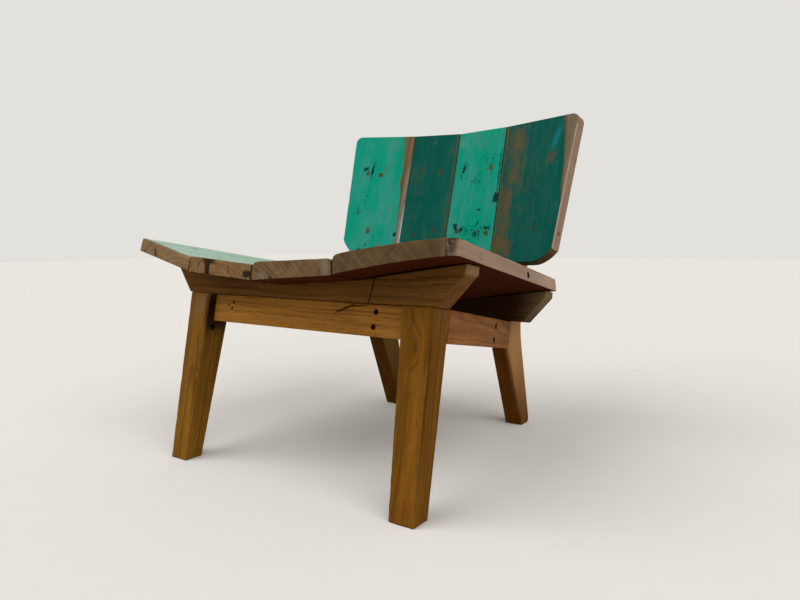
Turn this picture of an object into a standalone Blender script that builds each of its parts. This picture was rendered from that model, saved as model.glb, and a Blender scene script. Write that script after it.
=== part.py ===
"""Lounge chair of reclaimed teak boards.

Four painted boards make the dished seat and four make the dished, leaning back. The seat boards lie on
two hollowed bearers, the back boards on two hollowed battens. A low frame carries them: two leaning front
legs, two bent rear posts that run up behind the back, and four aprons tenoned between them.
Metres, +Z up, the chair faces -Y and its origin is the bottom centre of its box.
"""

import math

import bmesh
import bpy
from mathutils import Matrix, Vector

# Seat: four boards that run front to back and narrow towards the back, wider than the frame under them
SEAT_TILT = math.radians(9.4)
SEAT_OVERHANG = 0.076
SEAT_SIDE_OVERHANG = 0.069
SEAT_REAR_SIDE_OVERHANG = 0.099
SEAT_BOARD_THICKNESS = 0.0275
# Where the seat boards meet, as shares of the half width, and how deep the dish is there at the front
SEAT_JOINTS = (-0.5785, -0.111, 0.386)
SEAT_JOINT_DEPTHS = (0.0370, 0.0480, 0.0345)
# How far each seat board's left edge stands above the board before it
SEAT_STEPS = (0.0, 0.002, 0.005, 0.006)

# Bearers under the seat, sawn from one template with flared ends
BEARER_THICKNESS = 0.040
BEARER_SPACING = 0.450
BEARER_CORE = 0.0245
BEARER_FLARE = 0.047
BEARER_LIP = 0.014
BEARER_INSET = 0.009
BEARER_BASE_RADIUS = 0.004
BEARER_TIP_RADIUS = 0.006

# Front legs: the outer faces are upright, the inner faces and the depth taper to the foot, and the left
# leg comes from deeper stock than the right
FRONT_LEG_SPAN = 0.600
FRONT_LEG_HEIGHT = 0.337
FRONT_LEG_LEAN = math.radians(10.6)
FRONT_LEG_WIDTH = 0.061
FRONT_FOOT_WIDTH = 0.046
FRONT_LEG_LEFT_DEPTH = 0.058
FRONT_LEG_RIGHT_DEPTH = 0.048
FRONT_FOOT_DEPTH = 0.041

# Rear posts: one bent piece from the foot to the back
REAR_POST_SPAN = 0.400
REAR_POST_THICKNESS = 0.043
REAR_FOOT_RAKE = math.radians(21.8)
REAR_FOOT_DEPTH = 0.041
KNEE_DEPTH = 0.062
KNEE_LIFT = 0.030
KNEE_RADIUS = 0.180
POST_TOP_DEPTH = 0.044
POST_TOP_DROP = 0.055
POST_TOE_RADIUS = 0.003
POST_HEEL_RADIUS = 0.010
POST_NOTCH_RADIUS = 0.030
POST_TOP_FRONT_RADIUS = 0.004
POST_TOP_REAR_RADIUS = 0.012

# Aprons
APRON_THICKNESS = 0.024
FRONT_APRON_HEIGHT = 0.056
FRONT_APRON_SETBACK = 0.016
SIDE_APRON_FRONT_HEIGHT = 0.056
SIDE_APRON_REAR_HEIGHT = 0.062
REAR_APRON_HEIGHT = 0.056
REAR_APRON_SETBACK = 0.008
TENON_THICKNESS = 0.010
TENON_LENGTH = 0.018
TENON_SHOULDER = 0.009

# Back: four boards on two battens that are halved into the posts
BACK_LEAN = math.radians(18.0)
BACK_HEIGHT = 0.344
BACK_TOP_LEFT = 0.310
BACK_TOP_RIGHT = 0.318
BACK_BASE_LEFT = 0.287
BACK_BASE_RIGHT = 0.295
BACK_BOARD_THICKNESS = 0.029
BACK_TOP_RADIUS = 0.018
BACK_FORWARD = 0.030
BACK_GAP = 0.040
# The back's lower corners, left and right: an arc of this radius leaves the base edge and meets the side at
# a crease, this far up
BACK_BASE_CORNERS = {-1: (0.095, 0.050), 1: (0.076, 0.032)}
# Where the back boards meet at the top and at the base, as shares of the right half widths there, how deep
# the dish is at each joint, and how far forward of its plane the left edge stands
BACK_TOP_JOINTS = (-0.423, -0.022, 0.402)
BACK_BASE_JOINTS = (-0.427, 0.009, 0.467)
BACK_JOINT_DEPTHS = (0.0258, 0.0388, 0.0280)
BACK_LEFT_FORWARD = 0.004
BATTEN_CORE = 0.026
BATTEN_HEIGHT = 0.050
BATTEN_INSET = 0.030
BATTEN_FLARE = 0.040
BATTEN_LIP = 0.016
BATTEN_TIP_RADIUS = 0.006
UPPER_BATTEN_DROP = 0.107
LOWER_BATTEN_DROP = 0.274

# Screws that hold the bearers and the battens to the legs and posts
SCREW_RADIUS = 0.0025
SCREW_HEAD_RADIUS = 0.0050
SCREW_HEAD_HEIGHT = 0.0030
SCREW_SIDES = 12
HEAD_SINK = 0.0012
LEG_SCREW_GRIP = 0.045
POST_SCREW_GRIP = 0.037
BATTEN_SCREW_GRIP = 0.016

# Holes left from the wood's first use. In the front apron and the right side apron each is given as its way
# from the apron's end and its drop below the top edge
NAIL_HOLE_RADIUS = 0.0018
BOLT_HOLE_RADIUS = 0.0033
PEG_HOLE_RADIUS = 0.0048
RING_BOLT_HOLE_RADIUS = 0.0062
HOLE_DEPTH = 0.014
FRONT_APRON_BOLT_HOLES = ((0.066, 0.0135), (0.069, 0.0392))
FRONT_APRON_NAIL_HOLES = ((0.056, 0.0148), (0.052, 0.0270), (0.042, 0.0216))
SIDE_APRON_BOLT_HOLES = ((0.134, 0.0152), (0.141, 0.0443))
PEG_HOLE_SETBACK = 0.0193
PEG_HOLE_BELOW_APRON = 0.0112
RING_BOLT_FROM_REAR = 0.211

# Hand work: how far edges are eased, how far worn ones are rounded, and each seat board's worn edges: the
# left arris of two boards and the outer front corner of the last
EASE = 0.0022
WORN_ARRIS = 0.012
SEAT_WORN_EDGES = ((), (), ((-1, 0, 1),), ((-1, 0, 1), (1, -1, 0)))

# Room left between pieces that touch, the relief under each seam between boards, how far a cut runs past
GAP = 0.0003
SEAM_RELIEF = 0.003
CUT_PAST = 0.020

ARC_STEP = math.radians(7)
SEAT_RISE = BEARER_CORE + SEAT_BOARD_THICKNESS + max(SEAT_JOINT_DEPTHS)
SEAT_FRONT_WIDTH = FRONT_LEG_SPAN + 2 * SEAT_SIDE_OVERHANG
SEAT_REAR_WIDTH = REAR_POST_SPAN + 2 * SEAT_REAR_SIDE_OVERHANG
FRONT_LEG_DEPTHS = {-1: FRONT_LEG_LEFT_DEPTH, 1: FRONT_LEG_RIGHT_DEPTH}
SEAT_REACH = BEARER_SPACING + BEARER_THICKNESS
POST_FACE = SEAT_REACH + GAP
LEG_RUN = FRONT_LEG_HEIGHT * math.tan(FRONT_LEG_LEAN)
POST_OUTER = REAR_POST_SPAN / 2
POST_INNER = POST_OUTER - REAR_POST_THICKNESS
POST_MIDDLE = (POST_OUTER + POST_INNER) / 2
REAR_APRON_FACE = POST_FACE + REAR_APRON_SETBACK


def from_seat(along, rise):
    """The (y, z) of a point given along the frame's slope and square to it."""
    y = LEG_RUN + along * math.cos(SEAT_TILT) + rise * math.sin(SEAT_TILT)
    z = FRONT_LEG_HEIGHT - along * math.sin(SEAT_TILT) + rise * math.cos(SEAT_TILT)
    return Vector((y, z))


def to_seat(y, z):
    """The way along the frame's slope, and square to it, of a point at (y, z)."""
    dy = y - LEG_RUN
    dz = z - FRONT_LEG_HEIGHT
    along = dy * math.cos(SEAT_TILT) - dz * math.sin(SEAT_TILT)
    rise = dy * math.sin(SEAT_TILT) + dz * math.cos(SEAT_TILT)
    return Vector((along, rise))


SEAT_END = from_seat(SEAT_REACH, SEAT_RISE)
BACK_BASE = Vector((SEAT_END.x - BACK_FORWARD, SEAT_END.y + BACK_GAP))


def from_back(behind, rise):
    """The (y, z) of a point given behind the back's front plane and up along it from its base."""
    y = BACK_BASE.x + behind * math.cos(BACK_LEAN) + rise * math.sin(BACK_LEAN)
    z = BACK_BASE.y - behind * math.sin(BACK_LEAN) + rise * math.cos(BACK_LEAN)
    return Vector((y, z))


def seat_scale(along):
    """The seat's width at a place along it, as a share of its width at the front."""
    share = (along + SEAT_OVERHANG) / (SEAT_REACH + SEAT_OVERHANG)
    return 1.0 + share * (SEAT_REAR_WIDTH / SEAT_FRONT_WIDTH - 1.0)


def facets(edges, depths):
    """The straight lines, as (start, slope), of a dish that runs through these points."""
    lines = []
    for index in range(len(edges) - 1):
        slope = (depths[index + 1] - depths[index]) / (edges[index + 1] - edges[index])
        lines.append((depths[index] - slope * edges[index], slope))
    return lines


def hollow(lines, seams, shift, reach):
    """The corners of a surface that backs these facets, moved square to them by shift.

    It is cut off at -reach and reach, and relieved where each seam runs from low to high.
    """

    def depth(line, x):
        start, slope = line
        return start + slope * x + shift * math.hypot(1.0, slope)

    corners = [(-reach, depth(lines[0], -reach))]
    for before, after, seam in zip(lines, lines[1:], seams):
        low = min(seam) - SEAM_RELIEF / 4
        high = max(seam) + SEAM_RELIEF / 4
        deep = max(depth(before, high), depth(after, low))
        corners.append((low - SEAM_RELIEF, depth(before, low - SEAM_RELIEF)))
        corners += [(low, deep), (high, deep)]
        corners.append((high + SEAM_RELIEF, depth(after, high + SEAM_RELIEF)))
    corners.append((reach, depth(lines[-1], reach)))
    return corners


def seat_edges(along):
    """The x of the seat boards' five edges, and how deep each lies, at a place along the seat."""
    scale = seat_scale(along)
    half = SEAT_FRONT_WIDTH / 2 * scale
    edges = [-half] + [share * half for share in SEAT_JOINTS] + [half]
    depths = [0.0] + [depth * scale for depth in SEAT_JOINT_DEPTHS] + [0.0]
    return edges, depths


def between(base, top, rise):
    """A value at a height along the back, from its values at the base and at the top."""
    return base + (top - base) * rise / BACK_HEIGHT


def back_edges(rise):
    """The x of the back boards' five edges at a height along the back."""
    left = between(BACK_BASE_LEFT, BACK_TOP_LEFT, rise)
    right = between(BACK_BASE_RIGHT, BACK_TOP_RIGHT, rise)
    joints = []
    for base, top in zip(BACK_BASE_JOINTS, BACK_TOP_JOINTS):
        joints.append(between(base * BACK_BASE_RIGHT, top * BACK_TOP_RIGHT, rise))
    return [-left] + joints + [right]


BACK_LINES = facets(back_edges(BACK_HEIGHT / 2), [-BACK_LEFT_FORWARD, *BACK_JOINT_DEPTHS, 0.0])


def outer_rear(x):
    """How far behind the back's front plane the rear face of the outer board lies at x."""
    start, slope = BACK_LINES[0] if x < 0 else BACK_LINES[-1]
    return start + slope * x + BACK_BOARD_THICKNESS * math.hypot(1.0, slope)


POST_BEHIND = max(outer_rear(side * x) for side in (-1, 1) for x in (POST_INNER, POST_OUTER)) + GAP
BATTEN_BEHIND = max(BACK_JOINT_DEPTHS) + BACK_BOARD_THICKNESS + BATTEN_CORE
LAP_BEHIND = (POST_BEHIND + BATTEN_BEHIND) / 2

parts = bpy.data.collections.new("reclaimed_teak_lounge_chair")
cutters = bpy.data.collections.new("cutters")


def hang(obj, parent, collection=parts):
    """Puts an object in a collection, under a parent."""
    collection.objects.link(obj)
    obj.parent = parent
    if collection is cutters:
        obj.hide_render = True
        obj.display_type = "WIRE"
    return obj


def empty(name, parent, location, lean):
    """A plane of work: an empty turned about X by a lean towards the back."""
    obj = bpy.data.objects.new(name, None)
    obj.location = location
    obj.rotation_euler = (-lean, 0.0, 0.0)
    return hang(obj, parent)


def block(name, parent, corner, worn=(), collection=parts):
    """A six-sided piece. corner(side, end, level) places each corner, for -1 or 1 each way.

    Each worn edge, given as the signs of its place with 0 along it, carries a full bevel weight and every
    other edge a small one.
    """

    def lies_on(edge, signs):
        return all(sign * value >= abs(sign) for v in edge.verts for sign, value in zip(signs, v.co))

    bm = bmesh.new()
    bmesh.ops.create_cube(bm, size=2.0)
    weight = bm.edges.layers.float.new("bevel_weight_edge")
    for edge in bm.edges:
        full = any(lies_on(edge, signs) for signs in worn)
        edge[weight] = 1.0 if full else EASE / WORN_ARRIS
    for vert in bm.verts:
        vert.co = corner(*(int(round(value)) for value in vert.co))
    centre = sum((vert.co for vert in bm.verts), Vector()) / len(bm.verts)
    bmesh.ops.translate(bm, verts=bm.verts, vec=-centre)
    bmesh.ops.recalc_face_normals(bm, faces=bm.faces)
    mesh = bpy.data.meshes.new(name)
    bm.to_mesh(mesh)
    bm.free()
    obj = bpy.data.objects.new(name, mesh)
    obj.location = centre
    return hang(obj, parent, collection)


def box(name, parent, low, high, collection=cutters):
    """A straight-sided block between two opposite corners."""

    def corner(*signs):
        return Vector(high[i] if sign > 0 else low[i] for i, sign in enumerate(signs))

    return block(name, parent, corner, collection=collection)


def rounded(corners):
    """An outline with its corners, given as (x, y, radius), turned into arcs."""
    outline = []
    for index, (x, y, radius) in enumerate(corners):
        point = Vector((x, y))
        before = Vector(corners[index - 1][:2]) - point
        after = Vector(corners[(index + 1) % len(corners)][:2]) - point
        half = before.angle(after) / 2
        reach = min(radius / math.tan(half), 0.48 * before.length, 0.48 * after.length)
        if reach < 1e-5:
            outline.append(point)
            continue
        start = before.normalized() * reach
        middle = (before.normalized() + after.normalized()).normalized() * (reach / math.cos(half))
        sweep = math.copysign(math.pi - 2 * half, before.cross(after))
        steps = max(2, math.ceil(abs(sweep) / ARC_STEP))
        for step in range(steps + 1):
            turn = Matrix.Rotation(-sweep * step / steps, 2)
            outline.append(point + middle + turn @ (start - middle))
    return outline


def sawn(name, parent, outline, thickness, location, rotation=(0.0, 0.0, 0.0)):
    """A piece sawn to an outline in its own XY plane, from stock of this thickness."""
    curve = bpy.data.curves.new(name, "CURVE")
    curve.dimensions = "2D"
    curve.fill_mode = "BOTH"
    curve.extrude = thickness / 2
    spline = curve.splines.new("POLY")
    spline.points.add(len(outline) - 1)
    spline.use_cyclic_u = True
    for point, place in zip(spline.points, outline):
        point.co = (place[0], place[1], 0.0, 1.0)
    drawn = hang(bpy.data.objects.new(name + "_outline", curve), None)
    graph = bpy.context.evaluated_depsgraph_get()
    mesh = bpy.data.meshes.new_from_object(drawn.evaluated_get(graph))
    bpy.data.objects.remove(drawn, do_unlink=True)
    bm = bmesh.new()
    bm.from_mesh(mesh)
    bmesh.ops.remove_doubles(bm, verts=bm.verts, dist=1e-6)
    bmesh.ops.dissolve_limit(bm, angle_limit=math.radians(0.05), verts=bm.verts, edges=bm.edges)
    bmesh.ops.recalc_face_normals(bm, faces=bm.faces)
    bm.to_mesh(mesh)
    bm.free()
    mesh.name = name
    obj = bpy.data.objects.new(name, mesh)
    obj.location = location
    obj.rotation_euler = rotation
    return hang(obj, parent)


def ease(obj, by_weight=False):
    """Takes the sharpness off a piece's edges."""
    bevel = obj.modifiers.new("eased_edges", "BEVEL")
    bevel.segments = 2
    if by_weight:
        bevel.limit_method = "WEIGHT"
        bevel.width = WORN_ARRIS
    else:
        bevel.limit_method = "ANGLE"
        bevel.angle_limit = math.radians(35)
        bevel.width = EASE
    return obj


def combine(obj, operation, other):
    """Cuts another body from a piece, or joins it on."""
    boolean = obj.modifiers.new(f"{operation.lower()}_{other.name}", "BOOLEAN")
    boolean.operation = operation
    boolean.object = other


def tenon(name, parent, rail, post, low, high):
    """Joins a tenon to a rail and cuts its mortise, a little larger, in the post."""
    tongue = box(name + "_tenon", parent, low, high)
    combine(rail, "UNION", tongue)
    wide_low = [value - GAP for value in low]
    wide_high = [value + GAP for value in high]
    combine(post, "DIFFERENCE", box(name + "_mortise", parent, wide_low, wide_high))


def turned(name, parent, profile, location, rotation, collection):
    """A turned piece about its own Z, from (radius, height) points that run from top to bottom."""
    bm = bmesh.new()
    verts = [bm.verts.new((radius, 0.0, height)) for radius, height in profile]
    for first, second in zip(verts, verts[1:]):
        bm.edges.new((first, second))
    mesh = bpy.data.meshes.new(name)
    bm.to_mesh(mesh)
    bm.free()
    obj = bpy.data.objects.new(name, mesh)
    obj.location = location
    obj.rotation_euler = rotation
    screw = obj.modifiers.new("turned", "SCREW")
    screw.steps = SCREW_SIDES
    screw.render_steps = SCREW_SIDES
    screw.use_merge_vertices = True
    screw.merge_threshold = 1e-5
    return hang(obj, parent, collection)


def wood_screw(name, parent, location, length, rotation, bores):
    """A countersunk screw that points along its own -Z, and its hole in each piece it passes."""
    sink = 2 * SCREW_HEAD_RADIUS
    profile = [
        (0.0, 0.0),
        (SCREW_HEAD_RADIUS, 0.0),
        (SCREW_RADIUS, -SCREW_HEAD_HEIGHT),
        (SCREW_RADIUS, SCREW_RADIUS - length),
        (0.0, -length),
    ]
    hole = [
        (0.0, sink),
        (SCREW_HEAD_RADIUS + GAP, sink),
        (SCREW_HEAD_RADIUS + GAP, -GAP),
        (SCREW_RADIUS + GAP, -SCREW_HEAD_HEIGHT - GAP),
        (SCREW_RADIUS + GAP, SCREW_RADIUS - length - GAP),
        (0.0, -length - 2 * GAP),
    ]
    obj = turned(name, parent, profile, location, rotation, parts)
    cutter = turned(name + "_hole", parent, hole, location, rotation, cutters)
    for piece in bores:
        combine(piece, "DIFFERENCE", cutter)
    return finish(obj, (0.55, 0.54, 0.52), 0.35, 1.0)


def old_hole(name, parent, piece, location, heading, radius):
    """A blind round hole in a piece. heading is the way in, about Z from +Y."""
    profile = [(0.0, radius), (radius, radius), (radius, -HOLE_DEPTH), (0.0, -HOLE_DEPTH)]
    turn = (math.radians(90), 0.0, heading)
    combine(piece, "DIFFERENCE", turned(name, parent, profile, location, turn, cutters))


def finish(obj, colour, roughness, metallic=0.0):
    """Gives a piece its own material."""
    material = bpy.data.materials.new(obj.name + "_finish")
    material.use_nodes = True
    shader = material.node_tree.nodes["Principled BSDF"]
    shader.inputs["Base Color"].default_value = (*colour, 1.0)
    shader.inputs["Roughness"].default_value = roughness
    shader.inputs["Metallic"].default_value = metallic
    obj.data.materials.append(material)
    return obj


MINT_PAINT = (0.36, 0.52, 0.44)
EMERALD_PAINT = (0.010, 0.190, 0.095)
TEAL_PAINT = (0.008, 0.085, 0.060)
GOLDEN_TEAK = (0.300, 0.155, 0.070)
RED_TEAK = (0.210, 0.090, 0.048)
DARK_TEAK = (0.110, 0.058, 0.032)


def front_leg_face(top, foot, rise):
    """The place of a front leg's face at a rise, between its place at the top and at the foot."""
    return top + (foot - top) * rise / to_seat(0.0, 0.0).y


def build_front_legs(root):
    """The two front legs, left and right."""
    legs = []
    for side, name in ((-1, "front_leg_left"), (1, "front_leg_right")):

        def corner(across, end, level, side=side):
            inner = across * side < 0
            if level > 0:
                y, z = from_seat(FRONT_LEG_DEPTHS[side] if end > 0 else 0.0, 0.0)
                width = FRONT_LEG_WIDTH
            else:
                y, z = (FRONT_FOOT_DEPTH if end > 0 else 0.0), 0.0
                width = FRONT_FOOT_WIDTH
            x = FRONT_LEG_SPAN / 2 - (width if inner else 0.0)
            return Vector((side * x, y, z))

        legs.append(finish(ease(block(name, root, corner)), GOLDEN_TEAK, 0.45))
    return legs


def build_rear_posts(root):
    """The two bent rear posts, left and right."""
    knee_front = from_seat(POST_FACE, -SIDE_APRON_REAR_HEIGHT)
    knee_rear = from_seat(POST_FACE + KNEE_DEPTH, KNEE_LIFT - SIDE_APRON_REAR_HEIGHT)
    toe = knee_front.x + knee_front.y * math.tan(REAR_FOOT_RAKE)
    low = to_seat(*from_back(POST_BEHIND, 0.0))
    high = to_seat(*from_back(POST_BEHIND, BACK_HEIGHT))
    bend_rise = low.y + (POST_FACE - low.x) * (high.y - low.y) / (high.x - low.x)
    bend_front = from_seat(POST_FACE, bend_rise)
    bend_rear = from_seat(POST_FACE + (KNEE_DEPTH + POST_TOP_DEPTH) / 2, bend_rise)
    top = BACK_HEIGHT - POST_TOP_DROP
    top_front = from_back(POST_BEHIND, top)
    top_rear = from_back(POST_BEHIND + POST_TOP_DEPTH, top)
    outline = rounded([
        (toe, 0.0, POST_TOE_RADIUS),
        (toe + REAR_FOOT_DEPTH, 0.0, POST_HEEL_RADIUS),
        (*knee_rear, KNEE_RADIUS),
        (*bend_rear, KNEE_RADIUS),
        (*top_rear, POST_TOP_REAR_RADIUS),
        (*top_front, POST_TOP_FRONT_RADIUS),
        (*bend_front, KNEE_RADIUS),
        (*knee_front, POST_NOTCH_RADIUS),
    ])
    turn = (math.radians(90), 0.0, math.radians(90))
    posts = []
    for side, name in ((-1, "rear_post_left"), (1, "rear_post_right")):
        place = (side * POST_MIDDLE, 0.0, 0.0)
        post = sawn(name, root, outline, REAR_POST_THICKNESS, place, turn)
        posts.append(finish(ease(post), GOLDEN_TEAK, 0.45))
    return posts


def build_cross_aprons(seat, legs, posts):
    """The front apron between the front legs and the rear apron between the posts."""
    leg_outer = FRONT_LEG_SPAN / 2
    low = -FRONT_APRON_HEIGHT

    def front_corner(across, end, level):
        rise = 0.0 if level > 0 else low
        inner = leg_outer - front_leg_face(FRONT_LEG_WIDTH, FRONT_FOOT_WIDTH, rise)
        y = FRONT_APRON_SETBACK + (APRON_THICKNESS if end > 0 else 0.0)
        return Vector((across * (inner - GAP), y, rise))

    def rear_corner(across, end, level):
        y = REAR_APRON_FACE + (APRON_THICKNESS if end > 0 else 0.0)
        return Vector((across * (POST_INNER - GAP), y, 0.0 if level > 0 else -REAR_APRON_HEIGHT))

    front = finish(ease(block("front_apron", seat, front_corner)), GOLDEN_TEAK, 0.5)
    rear = finish(ease(block("rear_apron", seat, rear_corner)), GOLDEN_TEAK, 0.5)
    leg_inner = leg_outer - FRONT_LEG_WIDTH
    runs = (
        (front, legs, leg_inner, FRONT_APRON_SETBACK, FRONT_APRON_HEIGHT),
        (rear, posts, POST_INNER, REAR_APRON_FACE, REAR_APRON_HEIGHT),
    )
    for apron, holders, face, start, height in runs:
        middle = start + APRON_THICKNESS / 2
        for side, word, holder in zip((-1, 1), ("left", "right"), holders):
            ends = sorted((side * (face - TENON_LENGTH), side * (face + TENON_LENGTH)))
            tenon(
                f"{apron.name}_{word}", seat, apron, holder,
                (ends[0], middle - TENON_THICKNESS / 2, TENON_SHOULDER - height),
                (ends[1], middle + TENON_THICKNESS / 2, -TENON_SHOULDER),
            )
    return front, rear


def side_toe_in(side):
    """How far a side apron turns in towards the back."""
    return math.atan2(FRONT_LEG_SPAN / 2 - POST_OUTER, POST_FACE - FRONT_LEG_DEPTHS[side])


def build_side_aprons(seat, legs, posts):
    """The two side aprons, which draw in from the front legs to the rear posts."""
    foot = to_seat(FRONT_FOOT_DEPTH, 0.0)
    front_outer = FRONT_LEG_SPAN / 2
    aprons = []
    for side, leg, post in zip((-1, 1), legs, posts):
        word = "left" if side < 0 else "right"
        leg_depth = FRONT_LEG_DEPTHS[side]
        toe_in = side_toe_in(side)
        across_grain = APRON_THICKNESS / math.cos(toe_in)

        def corner(across, end, level):
            height = SIDE_APRON_REAR_HEIGHT if end > 0 else SIDE_APRON_FRONT_HEIGHT
            rise = 0.0 if level > 0 else -height
            leg_rear = leg_depth + (foot.x - leg_depth) * rise / foot.y
            along = POST_FACE - GAP if end > 0 else leg_rear + GAP
            x = front_outer - (along - leg_depth) * math.tan(toe_in)
            if across * side < 0:
                x -= across_grain
            return Vector((side * x, along, rise))

        apron = finish(ease(block("side_apron_" + word, seat, corner)), RED_TEAK, 0.5)
        ends = (
            ("front", leg, front_outer, leg_depth, SIDE_APRON_FRONT_HEIGHT),
            ("rear", post, POST_OUTER, POST_FACE, SIDE_APRON_REAR_HEIGHT),
        )
        for end, holder, outer, face, height in ends:
            middle = side * (outer - across_grain / 2)
            tenon(
                f"side_apron_{word}_{end}", seat, apron, holder,
                (middle - TENON_THICKNESS / 2, face - TENON_LENGTH, TENON_SHOULDER - height),
                (middle + TENON_THICKNESS / 2, face + TENON_LENGTH, -TENON_SHOULDER),
            )
        aprons.append(apron)
    return aprons


def build_bearers(seat):
    """The two hollowed bearers that the seat boards lie on."""
    bearers = []
    for name, along in (("front_bearer", 0.0), ("rear_bearer", BEARER_SPACING)):
        edges, depths = seat_edges(along)
        rear_edges, _ = seat_edges(along + BEARER_THICKNESS)
        half = edges[-1] - BEARER_INSET
        base = half - BEARER_FLARE
        seams = list(zip(edges[1:-1], rear_edges[1:-1]))
        under = hollow(facets(edges, depths), seams, SEAT_BOARD_THICKNESS + GAP, half)
        top = [(x, SEAT_RISE - depth) for x, depth in under]
        corners = [(-base, GAP, BEARER_BASE_RADIUS), (base, GAP, BEARER_BASE_RADIUS)]
        corners.append((half, top[-1][1] - BEARER_LIP, BEARER_TIP_RADIUS))
        corners += [(x, rise, 0.0) for x, rise in reversed(top)]
        corners.append((-half, top[0][1] - BEARER_LIP, BEARER_TIP_RADIUS))
        place = (0.0, along + BEARER_THICKNESS / 2, 0.0)
        turn = (math.radians(90), 0.0, 0.0)
        bearer = sawn(name, seat, rounded(corners), BEARER_THICKNESS, place, turn)
        bearers.append(finish(ease(bearer), DARK_TEAK, 0.6))
    return bearers


def build_seat_boards(seat):
    """The four seat boards, each a flat board that narrows to the back."""
    ends = {-1: -SEAT_OVERHANG, 1: SEAT_REACH}
    colours = (MINT_PAINT, MINT_PAINT, EMERALD_PAINT, TEAL_PAINT)
    boards = []
    for index, colour in enumerate(colours):

        def corner(across, end, level, index=index):
            along = ends[end]
            edges, depths = seat_edges(along)
            slope = (depths[index + 1] - depths[index]) / (edges[index + 1] - edges[index])
            edge = index + (1 if across > 0 else 0)
            x = edges[edge] - across * GAP
            rise = SEAT_RISE - depths[edge] - across * GAP * -slope
            if level > 0 > across:
                rise += SEAT_STEPS[index]
            if level < 0:
                x -= SEAT_BOARD_THICKNESS * slope / math.hypot(1.0, slope)
                rise -= SEAT_BOARD_THICKNESS / math.hypot(1.0, slope)
            return Vector((x, along, rise))

        board = block(f"seat_board_{index + 1}", seat, corner, SEAT_WORN_EDGES[index])
        boards.append(finish(ease(board, by_weight=True), colour, 0.65))
    return boards


def base_corner(side):
    """The arc of an outer board's lower corner, from the crease on its side to the base edge.

    Its points are given as (x, rise, radius) like the corners of rounded.
    """
    radius, crease = BACK_BASE_CORNERS[side]
    sweep = math.acos(1.0 - crease / radius)
    edge = back_edges(crease)[0 if side < 0 else -1]
    steps = math.ceil(sweep / ARC_STEP)
    arc = []
    for step in range(steps + 1):
        angle = sweep * (1.0 - step / steps)
        inset = GAP + radius * (math.sin(sweep) - math.sin(angle))
        arc.append((edge - side * inset, radius * (1.0 - math.cos(angle)), 0.0))
    return arc


def build_back_boards(back):
    """The four back boards, sawn to the back's outline and set to its dish."""
    colours = (EMERALD_PAINT, TEAL_PAINT, EMERALD_PAINT, TEAL_PAINT)
    base = back_edges(0.0)
    top = back_edges(BACK_HEIGHT)
    boards = []
    for index, colour in enumerate(colours):
        start, slope = BACK_LINES[index]
        turn = math.atan(slope)
        first = index == 0
        last = index == len(colours) - 1
        corners = [
            *(base_corner(-1) if first else [(base[index] + GAP, 0.0, 0.0)]),
            *(reversed(base_corner(1)) if last else [(base[index + 1] - GAP, 0.0, 0.0)]),
            (top[index + 1] - GAP, BACK_HEIGHT, BACK_TOP_RADIUS if last else 0.0),
            (top[index] + GAP, BACK_HEIGHT, BACK_TOP_RADIUS if first else 0.0),
        ]
        outline = [(x / math.cos(turn), rise) for x, rise in rounded(corners)]
        normal = Vector((-math.sin(turn), math.cos(turn), 0.0))
        place = Vector((0.0, start, 0.0)) + normal * (BACK_BOARD_THICKNESS / 2)
        rotation = (math.radians(90), 0.0, turn)
        board = sawn(f"back_board_{index + 1}", back, outline, BACK_BOARD_THICKNESS, place, rotation)
        boards.append(finish(ease(board), colour, 0.55))
    return boards


def build_battens(back, posts):
    """The two hollowed battens behind the back boards, with flared ends, halved over the posts."""
    battens = []
    for name, drop in (("upper_back_batten", UPPER_BATTEN_DROP), ("lower_back_batten", LOWER_BATTEN_DROP)):
        middle = BACK_HEIGHT - drop
        low_edges = back_edges(middle - BATTEN_HEIGHT / 2)
        high_edges = back_edges(middle + BATTEN_HEIGHT / 2)
        half = -low_edges[0] - BATTEN_INSET
        seams = list(zip(low_edges[1:-1], high_edges[1:-1]))
        front = hollow(BACK_LINES, seams, BACK_BOARD_THICKNESS + GAP, half)
        corners = [(x, behind, 0.0) for x, behind in front]
        corners.append((half, front[-1][1] + BATTEN_LIP, BATTEN_TIP_RADIUS))
        corners.append((half - BATTEN_FLARE, BATTEN_BEHIND, BATTEN_TIP_RADIUS))
        corners.append((BATTEN_FLARE - half, BATTEN_BEHIND, BATTEN_TIP_RADIUS))
        corners.append((-half, front[0][1] + BATTEN_LIP, BATTEN_TIP_RADIUS))
        batten = sawn(name, back, rounded(corners), BATTEN_HEIGHT, (0.0, 0.0, middle))
        finish(ease(batten), DARK_TEAK, 0.6)
        tall = BATTEN_HEIGHT / 2 + GAP
        for side, word, post in zip((-1, 1), ("left", "right"), posts):
            faces = sorted((side * (POST_INNER - GAP), side * (POST_OUTER + GAP)))
            over = box(
                f"{name}_{word}_lap", back,
                (faces[0], LAP_BEHIND - GAP / 2, middle - tall - CUT_PAST),
                (faces[1], BATTEN_BEHIND + CUT_PAST, middle + tall + CUT_PAST),
            )
            combine(batten, "DIFFERENCE", over)
            under = box(
                f"{name}_{word}_housing", back,
                (faces[0] - CUT_PAST, POST_BEHIND - CUT_PAST, middle - tall),
                (faces[1] + CUT_PAST, LAP_BEHIND + GAP / 2, middle + tall),
            )
            combine(post, "DIFFERENCE", under)
        battens.append(batten)
    return battens


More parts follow.
